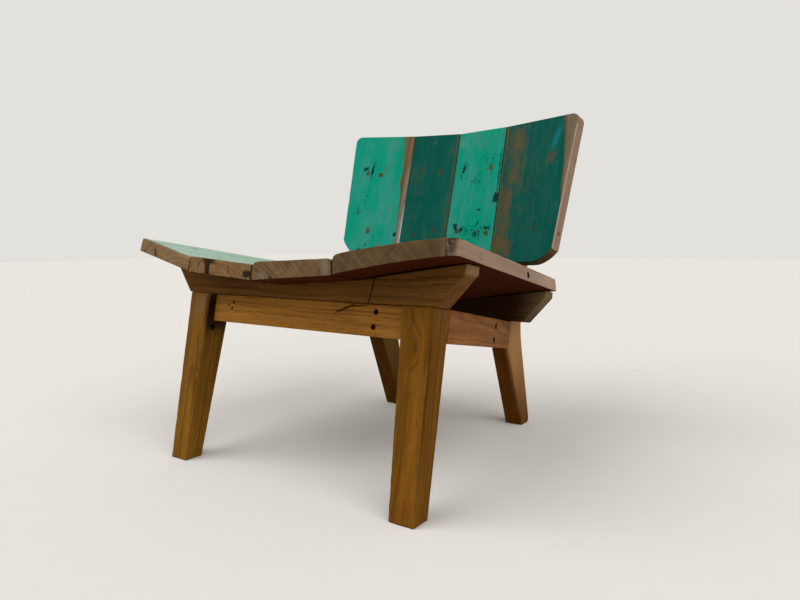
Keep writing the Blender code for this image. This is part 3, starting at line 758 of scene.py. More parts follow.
@dataclass(frozen=True)
class ScrewSteel:
    """Zinc-plated steel, dulled by years in the weather: grey metal with darker blotches of tarnish, all
    darkened as painted shade.

    Attributes:
        name: the material's name.
        bright: colour of the clean plating, darkened as painted shade.
        dull: colour of the tarnish, darkened as painted shade.
    """

    name: str = "tarnished zinc-plated steel"
    bright: str = "#37322B"
    dull: str = "#18140F"

    def material(self) -> bpy.types.Material:
        """Makes the metal, blotched at a millimetre.

        Returns:
            The material.
        """
        material, nodes = blank(self.name)
        blotch = nodes.add("TexNoise", {"Vector": nodes.place(), "Scale": 1000.0, "Detail": 3.0})
        share = nodes.ease(blotch, 0.40, 0.65)
        colour = nodes.mix(share, linear(self.bright), linear(self.dull))
        nodes.shade(Base_Color=colour, Roughness=nodes.ramp(share, 0.0, 1.0, 0.34, 0.62), Metallic=1.0)
        return material


@dataclass(frozen=True)
class Putty:
    """Linseed putty and paint crumbs in an old screw hole: dull, dark at its sunk middle.

    Attributes:
        name: the material's name.
        rim: colour at the rim.
        middle: colour of the dirt in the middle.
    """

    name: str = "putty in old screw holes"
    rim: str = "#4C4A30"
    middle: str = "#262619"

    def material(self) -> bpy.types.Material:
        """Makes the putty, mottled at 3 mm.

        Returns:
            The material.
        """
        material, nodes = blank(self.name)
        mottle = nodes.add("TexNoise", {"Vector": nodes.place(), "Scale": 330.0, "Detail": 3.0})
        colour = nodes.mix(nodes.ease(mottle, 0.38, 0.62), linear(self.rim), linear(self.middle))
        grain = nodes.bump(mottle, 0.0004)
        nodes.shade(Base_Color=colour, Normal=grain, Roughness=0.8, Specular_IOR_Level=0.1)
        return material


@dataclass
class Timber:
    """A six-sided plank, rail or leg, as a closed surface between eight corners.

    Attributes:
        node: the solid that it stands for.
        along: rough direction of its grain.
        out: rough direction of its best face.
        slot: the record's slot for its finish.
        seed: varies its relief and the place of its pattern.
        ease: radius of its eased arrises, round its best face and round its back.
        step: spacing of its points.
        cuts: cuts of its outline's corners at the near left, near right, far left and far right.
        crown: how far its best face and its back bulge outwards at the middle of their width.
        relief: share of the relief of hand work and wear.
        rub: share of rubbing on its arrises.
        heart: offset of the tree's centre from the timber's, across and out, besides its finish's own.
        knots: places where the grain runs round a knot, as marks whose strength lifts the rings, in metres.
        worn: arrises rounded by wear.
        holes: old holes in it.
        wear: bands and marks where paint has gone.
        soot: marks of black dirt, and on the left leg marks of painted shade.
        silver: bands and marks of bleached wood; strengths past 1 add a painted highlight.
        tint: marks of an older coat.
        painted: whether its best face has paint.
        widen: how far its left and right sides are moved out.
        thicken: how far its back is moved out.
        shaded: how far its back takes the colour of wood that never saw the sun, darkened as painted shade.
        joined: its sides that meet another plank.
        waves: spacing and depth of the slow waves of hand work.
        ripple: spacing and depth of the plane's ripple.
        knocks: spacing and depth of knocks close to an arris.
        knock_reach: how far from an arris knocks fade by.
        rub_reach: how far from an arris rubbing fades by.
        corners: its corners by near or far, left or right, back or out.
        axes: its directions along, across and out.
        planes: outward normal and offset of each face, in the order of Side.
    """

    node: str
    along: Triple
    out: Triple
    slot: str
    seed: int
    ease: Pair = (0.0022, 0.0022)
    step: float = 0.0030
    cuts: tuple[CornerCut, CornerCut, CornerCut, CornerCut] = (CornerCut(0.0025, 0.0025),) * 4
    crown: Pair = (0.0, 0.0)
    relief: float = 1.0
    rub: float = 0.6
    heart: Pair = (0.0, 0.0)
    knots: tuple[Mark, ...] = ()
    worn: tuple[WornArris, ...] = ()
    holes: tuple[Hole, ...] = ()
    wear: tuple[Band | Mark, ...] = ()
    soot: tuple[Mark, ...] = ()
    silver: tuple[Band | Mark, ...] = ()
    tint: tuple[Mark, ...] = ()
    painted: bool = False
    widen: Pair = (0.0, 0.0)
    thicken: float = 0.0
    shaded: float = 1.0
    joined: tuple[Side, ...] = ()
    waves: Pair = (0.085, 0.0005)
    ripple: Pair = (0.020, 0.00015)
    knocks: Pair = (0.013, 0.0020)
    knock_reach: float = 0.0035
    rub_reach: float = 0.0028
    corners: np.ndarray = field(init=False)
    axes: np.ndarray = field(init=False)
    planes: np.ndarray = field(init=False)

    def __post_init__(self) -> None:
        """Measures the solid, which gives the axes, the corners and the six planes."""
        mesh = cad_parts[self.node].data
        mesh.calc_loop_triangles()
        numbers = np.empty(len(mesh.loop_triangles) * 3, np.int32)
        mesh.loop_triangles.foreach_get("vertices", numbers)
        self.corners = self.sharp_corners(read(mesh, "co")[numbers].reshape(-1, 3, 3))
        self.corners[:, 0] -= self.widen[0] * self.axes[1]
        self.corners[:, 1] += self.widen[1] * self.axes[1]
        self.corners[:, :, 0] -= self.thicken * self.axes[2]
        self.planes = self.six_planes()

    def sharp_corners(self, triangles: np.ndarray) -> np.ndarray:
        """Finds the eight corners that the solid had before its arrises were eased, and its axes.

        A corner is where three flats meet: the largest flats near the point that reaches furthest that way.

        Args:
            triangles: the solid's triangles, n by 3 by 3.

        Returns:
            Corners by near or far, left or right, back or out.
        """
        crossed = np.cross(triangles[:, 1] - triangles[:, 0], triangles[:, 2] - triangles[:, 0])
        area = np.linalg.norm(crossed, axis=1) + 1e-15
        normal = crossed / area[:, None]
        facing = area * (normal @ np.array(self.out) > 0.9)
        out = (normal * facing[:, None]).sum(axis=0)
        out /= np.linalg.norm(out)
        along = np.array(self.along) - out * (out @ self.along)
        along /= np.linalg.norm(along)
        self.axes = np.stack([along, np.cross(along, out), out])
        local = triangles @ self.axes.T
        local = local / np.ptp(local.reshape(-1, 3), axis=0)
        corners = np.empty((2, 2, 2, 3))
        for turn in itertools.product((0, 1), repeat=3):
            signs = 2 * np.array(turn) - 1
            tip = triangles.reshape(-1, 3)[(local @ signs).argmax()]
            meeting = []
            for axis, sign in zip(self.axes, signs):
                flat = np.flatnonzero(normal @ axis * sign > 0.93)
                flat = flat[area[flat] > 0.2 * area[flat].max()]
                gap = np.linalg.norm(triangles[flat] - tip, axis=2).min(axis=1)
                meeting.append(flat[np.lexsort((-area[flat], gap.round(4)))[0]])
            offsets = (normal[meeting] * triangles[meeting, 0]).sum(axis=1)
            corners[turn] = np.linalg.solve(normal[meeting], offsets)
        return corners

    def six_planes(self) -> np.ndarray:
        """Works out each face's outward normal, from its diagonals, and its offset.

        Returns:
            Six rows of normal and offset, in the order of Side.
        """
        rows = []
        for axis, end in itertools.product(range(3), (0, 1)):
            quad = self.corners.take(end, axis=axis)
            normal = np.cross(quad[1, 1] - quad[0, 0], quad[1, 0] - quad[0, 1])
            normal *= np.sign(normal @ self.axes[axis]) * (2 * end - 1) / np.linalg.norm(normal)
            rows.append([*normal, (quad.reshape(-1, 3) @ normal).mean()])
        return np.array(rows)

    def size(self) -> list[float]:
        """Mean length, width and depth between its corners."""
        return [np.linalg.norm(np.diff(self.corners, axis=axis), axis=-1).mean() for axis in range(3)]

    def depth_below(self, points: np.ndarray, side: Side) -> np.ndarray:
        """Distance of each point inside one of the six planes."""
        plane = self.planes[side.value]
        return plane[3] - points @ plane[:3]

    def normal(self, side: Side) -> np.ndarray:
        """Outward normal of one of the six planes."""
        return self.planes[side.value, :3]

    def way(self, points: np.ndarray) -> np.ndarray:
        """Share of the length at each point: its depth below the near end, of both ends' depths."""
        near = self.depth_below(points, Side.NEAR)
        return near / (near + self.depth_below(points, Side.FAR))

    def arris(self, points: np.ndarray) -> np.ndarray:
        """Distance of each surface point to the nearest arris: the second least of its three depths."""
        depths = np.stack([self.depth_below(points, side) for side in Side])
        return np.sort(depths.reshape(3, 2, -1).min(axis=1), axis=0)[1]

    def limits(self, along: np.ndarray) -> tuple[np.ndarray, np.ndarray]:
        """Left and right limits of the outline, drawn in by the cuts at its corners.

        Args:
            along: shares of the length.

        Returns:
            Shares of the width where the outline starts and ends.
        """
        length, width, _ = self.size()
        near, far = along * length, (1 - along) * length
        near_left, near_right, far_left, far_right = self.cuts
        left = (near_left.inset(near) + far_left.inset(far)) / width
        right = 1 - (near_right.inset(near) + far_right.inset(far)) / width
        return left, right

    def place(self, across: np.ndarray, along: np.ndarray, outward: np.ndarray) -> np.ndarray:
        """Blends the eight corners by three shares, within the outline's limits.

        Args:
            across: share from left to right.
            along: share from near to far.
            outward: share from back to out.

        Returns:
            Points, with one more axis than the shares.
        """
        left, right = self.limits(along)
        across = left + (right - left) * across
        shares = [np.stack([1 - share, share], axis=-1) for share in (along, across, outward)]
        return np.einsum("...i,...j,...k,ijkd->...d", *shares, self.corners)

    def layer(self, u: np.ndarray, v: np.ndarray, inset: Any, sink: Any) -> np.ndarray:
        """Places points on the face, drawn in from its outline and sunk below it, with its crown's bulge.

        The bulge is the crown times 4 u (1 - u), from the best face's crown to the back's with the depth.

        Args:
            u: shares of the width.
            v: shares of the length.
            inset: how far in from the outline they lie.
            sink: how far below the best face they lie.

        Returns:
            Points, n by 3.
        """
        length, width, depth = self.size()
        u = inset / width + (1 - 2 * inset / width) * u
        v = inset / length + (1 - 2 * inset / length) * v
        deep = sink / depth + 0 * u
        bulge = (self.crown[0] * (1 - deep) + self.crown[1] * deep) * 4 * u * (1 - u)
        return (self.place(u, v, 1 - deep) + bulge[..., None] * self.axes[2]).reshape(-1, 3)

    def shell(self) -> tuple[np.ndarray, np.ndarray]:
        """Makes the surface: a grid for the best face, a rim, and a grid for the back.

        The rim's rows go over an eased arris as a quarter round, inset r (1 - sin t) and sunk r (1 - cos t),
        straight down the side, and in again to the back.

        Returns:
            Points and quads of a closed surface.
        """
        length, width, depth = self.size()
        along, across = np.meshgrid(closing(length / self.step), closing(width / self.step), indexing="ij")
        index = np.arange(along.size).reshape(along.shape)
        ring = np.concatenate([index[0, :-1], index[:-1, -1], index[-1, :0:-1], index[:0:-1, 0]])
        turn = np.linspace(0, np.pi / 2, 5)[1:]
        inset, sink = 1 - np.sin(turn), 1 - np.cos(turn)
        best_ease, back_ease = self.ease
        side = np.linspace(best_ease, depth - back_ease, max(int(depth / self.step), 4))[1:-1]
        insets = np.concatenate([best_ease * inset, 0 * side, back_ease * inset[::-1]])[:, None]
        sinks = np.concatenate([best_ease * sink, side, depth - back_ease * sink[::-1]])[:, None]
        best = self.layer(across, along, best_ease, 0.0)
        rim = self.layer(across.ravel()[ring] + 0 * sinks, along.ravel()[ring] + 0 * sinks, insets, sinks)
        back = self.layer(across, along, back_ease, depth)
        rows = np.arange(len(rim)).reshape(-1, len(ring)) + len(best)
        rings = np.vstack([ring, rows, ring + len(best) + len(rim)])
        rings = np.concatenate([rings, rings[:, :1]], axis=1)
        back_index = index + len(best) + len(rim)
        faces = np.concatenate([grid_faces(index), grid_faces(rings.T), grid_faces(back_index.T)])
        return np.concatenate([best, rim, back]), faces

    def rounded(self, points: np.ndarray) -> np.ndarray:
        """Rounds worn arrises: each draws the points of its corner square in to a circle of its radius.

        Args:
            points: the sharp surface's points, n by 3.

        Returns:
            The rounded surface's points.
        """
        points = points.copy()
        for worn in self.worn:
            share = np.clip(self.way(points), 0, 1)
            radius = worn.radii[0] + (worn.radii[1] - worn.radii[0]) * share
            # Wear is uneven, by a quarter either way over 60 mm.
            radius = radius * (0.75 + 0.5 * value_noise(points / 0.06, self.seed + 5))
            first, second = (self.normal(side) for side in worn.faces)
            a = np.clip(radius - self.depth_below(points, worn.faces[0]), 0, None)
            b = np.clip(radius - self.depth_below(points, worn.faces[1]), 0, None)
            excess = np.clip(1 - radius / np.maximum(np.hypot(a, b), 1e-9), 0, None) * (a > 0) * (b > 0)
            points -= (excess * a)[:, None] * first + (excess * b)[:, None] * second
        return points

    def weathered(self, points: np.ndarray, normals: np.ndarray) -> np.ndarray:
        """Gives the surface the relief of hand work and wear.

        After its worn arrises are rounded, each point sinks along its normal by slow waves of half a
        millimetre, a ripple, and knocks close to an arris. The back, the far end and joined sides stay flat,
        because they lie on other timbers.

        Args:
            points: the sharp surface's points, n by 3.
            normals: its normals.

        Returns:
            The worn surface's points.
        """
        points = self.rounded(points)
        slow = self.waves[1] * value_noise(points / self.waves[0], self.seed)
        ripple = self.ripple[1] * value_noise(points / self.ripple[0], self.seed + 1)
        knock = np.clip(value_noise(points / self.knocks[0], self.seed + 2) - 0.45, 0, None)
        close = np.exp(-self.arris(points) / self.knock_reach)
        sink = self.relief * (slow + ripple + self.knocks[1] * knock * close)
        rested = [-self.axes[2], self.axes[0]]
        sink *= 1 - np.maximum(*(smooth(normals @ heading, 0.4, 0.8) for heading in rested))
        for side in self.joined:
            sink *= 1 - smooth(normals @ self.normal(side), 0.4, 0.8)
        return points - normals * sink[:, None]

    def bored(self, points: np.ndarray) -> np.ndarray:
        """Tells which points lie in an old hole, which is painted black inside, as dirt and as painted shade.

        Args:
            points: places on the surface, n by 3.

        Returns:
            1 in a hole and on its rim, 0 elsewhere.
        """
        total = np.zeros(len(points))
        for hole in self.holes:
            heading = hole.axis()
            offset = points - hole.at
            deep = offset @ heading
            across = np.linalg.norm(offset - deep[:, None] * heading, axis=1)
            within = (across < 1.05 * hole.radius) & (deep < hole.depth + 0.002)
            total = np.maximum(total, smooth(deep, -0.004, 0.0) * within)
        return total

    def drill(self, piece: bpy.types.Object) -> None:
        """Cuts the old holes through the surface and keeps the cut mesh in the piece.

        Args:
            piece: the timber's piece.
        """
        at = np.array([hole.at for hole in self.holes])
        heading = np.array([hole.axis() for hole in self.holes])
        radii = np.array([hole.radius for hole in self.holes])
        depth = self.holes[0].depth
        profile = np.array([(0.0, -0.006), (1.0, -0.006), (1.0, depth), (0.0, depth + 0.001)])
        drill = mesh_piece("drill", *turned(at, heading, radii, profile, 20))
        cut = piece.modifiers.new("holes", "BOOLEAN")
        cut.object, cut.operation, cut.solver = drill, "DIFFERENCE", "EXACT"
        graph = bpy.context.evaluated_depsgraph_get()
        done = bpy.data.meshes.new_from_object(piece.evaluated_get(graph))
        piece.modifiers.remove(cut)
        bpy.data.objects.remove(drill)
        piece.data = done
        done.name = piece.name

    def spread(self, kind: tuple[Band | Mark, ...], points: np.ndarray, normals: np.ndarray) -> np.ndarray:
        """Lays bands and marks over the surface, where the strongest one counts.

        Args:
            kind: bands and marks of one kind.
            points: places on the surface, n by 3.
            normals: its normals there.

        Returns:
            Strength at each point.
        """
        total = np.zeros(len(points))
        share = self.way(points)
        for mark in kind:
            if isinstance(mark, Mark):
                strength = mark.strengths(points, normals)
            else:
                width = np.interp(share, *np.array(mark.widths).T)
                inside = self.depth_below(points, mark.side) / np.maximum(width, 1e-5)
                strength = mark.strength * (1 - smooth(inside, 0.7, 1.3)) * mark.facing.seen(normals)
                strength = strength * smooth(width, 0.0002, 0.0010)
            total = np.maximum(total, strength)
        return total

    def describe(self, mesh: bpy.types.Mesh) -> None:
        """Writes the attributes that the finish reads.

        Args:
            mesh: the finished mesh.
        """
        points, normals = read(mesh, "co"), read(mesh, "normal")
        local = (points - self.corners.reshape(-1, 3).mean(axis=0)) @ self.axes.T
        # Each timber comes from another place along the log.
        local -= np.array([-0.61 * self.seed, *self.heart])
        local[:, 2] += self.spread(self.knots, points, normals)
        put(mesh, "grain", local)
        put(mesh, "end", smooth(np.abs(normals @ self.axes[0]), 0.6, 0.9))
        put(mesh, "arris", self.rub * np.exp(-np.clip(self.arris(points), 0, None) / self.rub_reach))
        # Old holes are painted black inside, as dirt and as painted shade.
        soot = np.maximum(self.spread(self.soot, points, normals), 2 * self.bored(points))
        for side in self.joined:
            # Dirt gathers in a seam, a millimetre to each side of it.
            soot = np.maximum(soot, 1.1 - smooth(self.depth_below(points, side), 0.0004, 0.0015) * 1.1)
        put(mesh, "soot", soot)
        # Strengths past 1 paint a highlight over the bleached wood.
        put(mesh, "silver", self.spread(self.silver, points, normals))
        if self.painted:
            put(mesh, "wear", self.spread(self.wear, points, normals))
            put(mesh, "tint", self.spread(self.tint, points, normals))
            upper = self.depth_below(points, Side.OUT) < self.depth_below(points, Side.BACK)
            put(mesh, "paint", smooth(normals @ self.axes[2], 0.45, 0.9) * upper)
            # The back takes the colour of unsunned wood, darkened as painted shade.
            put(mesh, "below", self.shaded * smooth(-normals @ self.axes[2], 0.5, 0.9))

    def build(self, material: bpy.types.Material) -> bpy.types.Object:
        """Builds the piece, dresses it and sets it in the solid's place.

        Args:
            material: its finish.

        Returns:
            The finished piece.
        """
        points, faces = self.shell()
        piece = mesh_piece(f"{self.node}_dressed", points, faces)
        worn = self.weathered(points, read(piece.data, "normal"))
        piece.data.vertices.foreach_set("co", worn.astype(np.float32).ravel())
        piece.data.update()
        if self.holes:
            self.drill(piece)
        self.describe(piece.data)
        piece.data.materials.clear()
        piece.data.materials.append(material)
        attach(piece, "root")
        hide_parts(self.node)
        LOG.info("%s: %d points", piece.name, len(piece.data.vertices))
        return piece


def close_seams(planks: list[Timber], hair: float = 0.00005) -> list[Timber]:
    """Draws planks that stand side by side together.

    The facing corners of a seam go to their midpoint, less a hair, each across its own plank, so that no
    face tilts.

    Args:
        planks: the planks from left to right.
        hair: what stays open on each side of a seam.

    Returns:
        The same planks.
    """
    for left, right in zip(planks, planks[1:]):
        middle = (left.corners[:, 1] + right.corners[:, 0]) / 2
        for plank, end, sign in ((left, 1, 1), (right, 0, -1)):
            reach = (middle - plank.corners[:, end]) @ plank.axes[1] - sign * hair
            plank.corners[:, end] += reach[..., None] * plank.axes[1]
        left.joined += (Side.RIGHT,)
        right.joined += (Side.LEFT,)
    for plank in planks:
        plank.planes = plank.six_planes()
    return planks


def plug_piece(
    name: str, centres: list[Any], headings: list[Any], radii: list[float], finish: Putty
) -> bpy.types.Object:
    """Turns a shallow dished disc for each plug: flat, a raised lip at 0.86 of its radius, a sunk foot.

    Args:
        name: the piece's name.
        centres: middle of each disc on its timber's face.
        headings: outward normal of that face.
        radii: radius of each disc.
        finish: finish of the discs.

    Returns:
        One piece with all the discs.
    """
    profile = [(0, -0.0022), (1, -0.0020), (1, -0.0002), (0.86, 0.0004), (0.6, -0.0003), (0, -0.0005)]
    bodies = turned(np.array(centres), np.array(headings), np.array(radii), np.array(profile), 24)
    piece = mesh_piece(name, *bodies)
    piece.data.materials.append(finish.material())
    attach(piece, "root")
    LOG.info("%s: %d plugs", name, len(radii))
    return piece


@dataclass
class Back:
    """The hollow back: four painted planks side by side, with putty in their old screw holes.

    Attributes:
        up: rough direction of the planks.
        front: rough direction that they face.
        top: cut of the back's top corners.
        left_base: cut of its left base corner.
        right_base: cut of its right base corner.
        seam: cut of corners at a seam.
        bare: widths of the bare strip down the right plank's outer side.
        putty_radius: mean radius of a puttied hole.
        putty_holes: puttied holes by plank, each as X, Z and its radius's share.
    """

    up: Triple = (0.0, 0.31, 0.95)
    front: Triple = (0.0, -0.95, 0.31)
    top: CornerCut = CornerCut(0.018, 0.018)
    left_base: CornerCut = CornerCut(0.095, 0.050)
    right_base: CornerCut = CornerCut(0.076, 0.032)
    seam: CornerCut = CornerCut(0.0008, 0.0008)
    bare: tuple[Pair, ...] = (
        (0.0, 0.002), (0.40, 0.003), (0.50, 0.009), (0.65, 0.014), (0.80, 0.021), (1.0, 0.034),
    )
    putty_radius: float = 0.0050
    putty_holes: tuple[tuple[Triple, ...], ...] = (
        ((-0.2527, 0.6211, 0.9), (-0.2132, 0.6151, 1.1), (-0.2216, 0.4661, 1.2), (-0.2601, 0.5158, 0.6)),
        ((-0.0941, 0.6211, 1.0), (-0.0438, 0.6139, 1.0), (-0.0890, 0.4534, 0.9), (-0.0345, 0.4667, 0.9)),
        ((0.1029, 0.6144, 1.0), (0.1167, 0.4581, 1.0), (0.0334, 0.4617, 0.9)),
        ((0.2408, 0.4674, 0.6),),
    )

    def planks(self) -> list[Timber]:
        """Lists the four planks from left to right, with their wear.

        Returns:
            The planks.
        """
        board = partial(Timber, along=self.up, out=self.front, painted=True, rub=0.3, shaded=0.35)
        bare, right = self.bare, Facing.RIGHT
        strip = Band(Side.RIGHT, bare, 1.5)
        planks = [
            # The left one is worn along its right arris to a silvered strip, with a painted highlight on the
            # arris.
            board(
                "back_board_1",
                slot="emerald_board",
                seed=11,
                cuts=(self.left_base, self.seam, self.top, self.seam),
                worn=(WornArris((Side.RIGHT, Side.OUT), (0.007, 0.004)),),
                wear=(
                    band(
                        Side.RIGHT, 1.3, (0, 13.5), (0.3, 14.5), (0.55, 18), (0.62, 24), (0.7, 21), (1, 29),
                    ),
                    band(Side.NEAR, 0.5, (0, 3), (1, 3)),
                    *marks(
                        (-213.2, 615.1, 8.5, 7.5, 0.6), (-198.8, 630.6, 9, 5, 0.52, 50),
                        (-185.8, 644.8, 7, 6, 0.48), (-221.6, 466.1, 7.5, 9.5, 0.58),
                        (-221.1, 484.6, 4, 7, 0.45), (-252.7, 621.1, 6.5, 6.5, 0.58),
                        (-260.1, 515.8, 4, 4, 0.52), (-184, 430.7, 8, 5, 0.55), (-222, 430.8, 4, 3, 0.5),
                        (-210, 700, 70, 30, 0.2),
                    ),
                ),
                soot=marks(
                    (-239.8, 630, 3, 18, 1.2, -6), (-259.9, 633.8, 8, 6, 1), (-143.9, 456.3, 4, 4.5, 2),
                    (-237.6, 417.7, 6, 3, 1.2), (-244, 550, 1.6, 35, 0.6, -8), (-222, 430.8, 3, 3, 1),
                ),
                silver=(
                    band(Side.RIGHT, 0.34, (0, 15), (0.5, 14), (0.66, 10), (0.76, 4), (0.82, 0), (1, 0)),
                    band(Side.RIGHT, 0.72, (0, 8), (0.26, 7), (0.42, 4), (0.5, 0), (1, 0)),
                    # Past 1, this narrow band is a painted highlight along the lower right arris.
                    band(Side.RIGHT, 1.7, (0, 5.2), (0.2, 4.2), (0.36, 2.4), (0.46, 1), (0.5, 0), (1, 0)),
                ),
                tint=marks((-250, 700, 60, 30, 0.35), (-165, 520, 18, 70, 0.4)),
            ),
            # The second has brown smudges on its left and flecks on its right.
            board(
                "back_board_2",
                slot="teal_board",
                seed=23,
                cuts=(self.seam,) * 4,
                worn=(WornArris((Side.RIGHT, Side.OUT), (0.003, 0.004)),),
                wear=(
                    band(Side.RIGHT, 1.2, (0, 2.2), (0.5, 3), (1, 4.5)),
                    band(Side.RIGHT, 0.34, (0, 22), (0.5, 14), (0.9, 5), (1, 5)),
                    *marks(
                        (-100.2, 596.5, 20, 50, 0.3), (-118, 615, 7, 35, 0.42, -10),
                        (-94.1, 621.1, 7, 12, 0.55), (-43.8, 613.9, 7, 8, 0.55), (-72.6, 691.4, 7, 5, 0.5),
                        (-20.5, 668.6, 8, 10, 0.5), (-34.5, 466.7, 7, 8, 0.5), (-89, 453.4, 5, 6, 0.5),
                        (-105, 500, 30, 50, 0.2), (-45, 450, 40, 30, 0.24),
                    ),
                ),
            ),
            # The third has black chips at its base and along its right side.
            board(
                "back_board_3",
                slot="emerald_board",
                seed=37,
                cuts=(self.seam,) * 4,
                wear=marks(
                    (102.9, 614.4, 6, 10, 0.62, -20), (24.2, 614, 3.5, 8, 0.62, -18),
                    (116.7, 458.1, 10, 10, 0.55), (33.4, 461.7, 7.5, 12, 0.58), (85, 455, 24, 14, 0.2),
                    (60, 685, 60, 35, 0.24),
                ),
                soot=marks(
                    (24.2, 615.3, 4.8, 16.5, 0.92, -18), (26, 473, 4.5, 8, 1.5), (44, 466, 5.5, 6, 1.2),
                    (89.2, 455.6, 16, 12, 0.6), (80, 464, 48, 16, 0.36), (116.7, 470, 12, 4, 1),
                    (128.5, 542.2, 5.5, 10, 2, -15), (87.4, 514.5, 7, 2.2, 1.1, 12),
                    (87.5, 481.1, 2.2, 7, 1.1, -35), (67.2, 592.3, 24, 24, 0.3),
                    (95.8, 622.3, 20, 50, 0.25), (127.5, 600, 2.5, 60, 0.8, 2),
                ),
                tint=marks((16.3, 687.4, 35, 30, 0.45)),
            ),
            # The right one is worn to brown wood down its left side and bare along its upper right.
            board(
                "back_board_4",
                slot="teal_board",
                seed=49,
                cuts=(self.seam, self.right_base, self.seam, self.top),
                wear=(
                    band(Side.LEFT, 1.15, (0, 12), (0.2, 8), (0.3, 5), (0.6, 6), (1, 8)),
                    strip,
                    *marks(
                        (156.2, 527.1, 20, 48, 0.85), (160, 471, 22, 40, 0.7), (178.5, 422.8, 17, 26, 0.85),
                        (158, 432, 19, 30, 0.9), (166.1, 666.9, 32, 48, 0.68), (172, 600, 30, 56, 0.6),
                        (263.2, 626.3, 12, 15, 0.6), (241.2, 557.4, 5, 4, 0.6), (240.8, 467.4, 4, 4, 0.7),
                        (215, 550, 55, 150, 0.22),
                    ),
                ),
                soot=marks((272.7, 615.7, 6, 6, 0.6), (216.6, 453.8, 6, 8, 0.7), facing=right),
                silver=(
                    band(Side.RIGHT, 0.6, (0, 500), (1, 500), facing=right),
                    Band(Side.RIGHT, bare, 0.40),
                    # Past 1, this thin band is a painted highlight down the right arris.
                    band(Side.RIGHT, 1.3, (0, 1.8), (0.9, 1.8), (0.94, 0), (1, 0)),
                ),
                tint=marks((270.8, 669.5, 8, 34, 0.8, -15), (281, 590, 5, 30, 0.5)),
            ),
        ]
        for plank, holes in zip(planks, self.putty_holes):
            # A smudge of dirt surrounds each puttied hole, a little above its middle.
            plank.soot += marks(*((x / MM, z / MM + 2, 6.5, 9.5, 0.5) for x, z, _ in holes))
        return close_seams(planks)

    def putty(self, planks: list[Timber]) -> bpy.types.Object:
        """Fills each old screw hole with putty, on the best face of its plank.

        Args:
            planks: the planks that carry them.

        Returns:
            One piece with all the discs.
        """
        centres, headings, radii = [], [], []
        for plank, holes in zip(planks, self.putty_holes):
            normal = plank.normal(Side.OUT)
            for x, z, share in holes:
                y = (plank.planes[Side.OUT.value, 3] - normal[0] * x - normal[2] * z) / normal[1]
                centres.append((x, y, z))
                headings.append(normal)
                radii.append(share * self.putty_radius)
        return plug_piece("back_putty", centres, headings, radii, Putty())


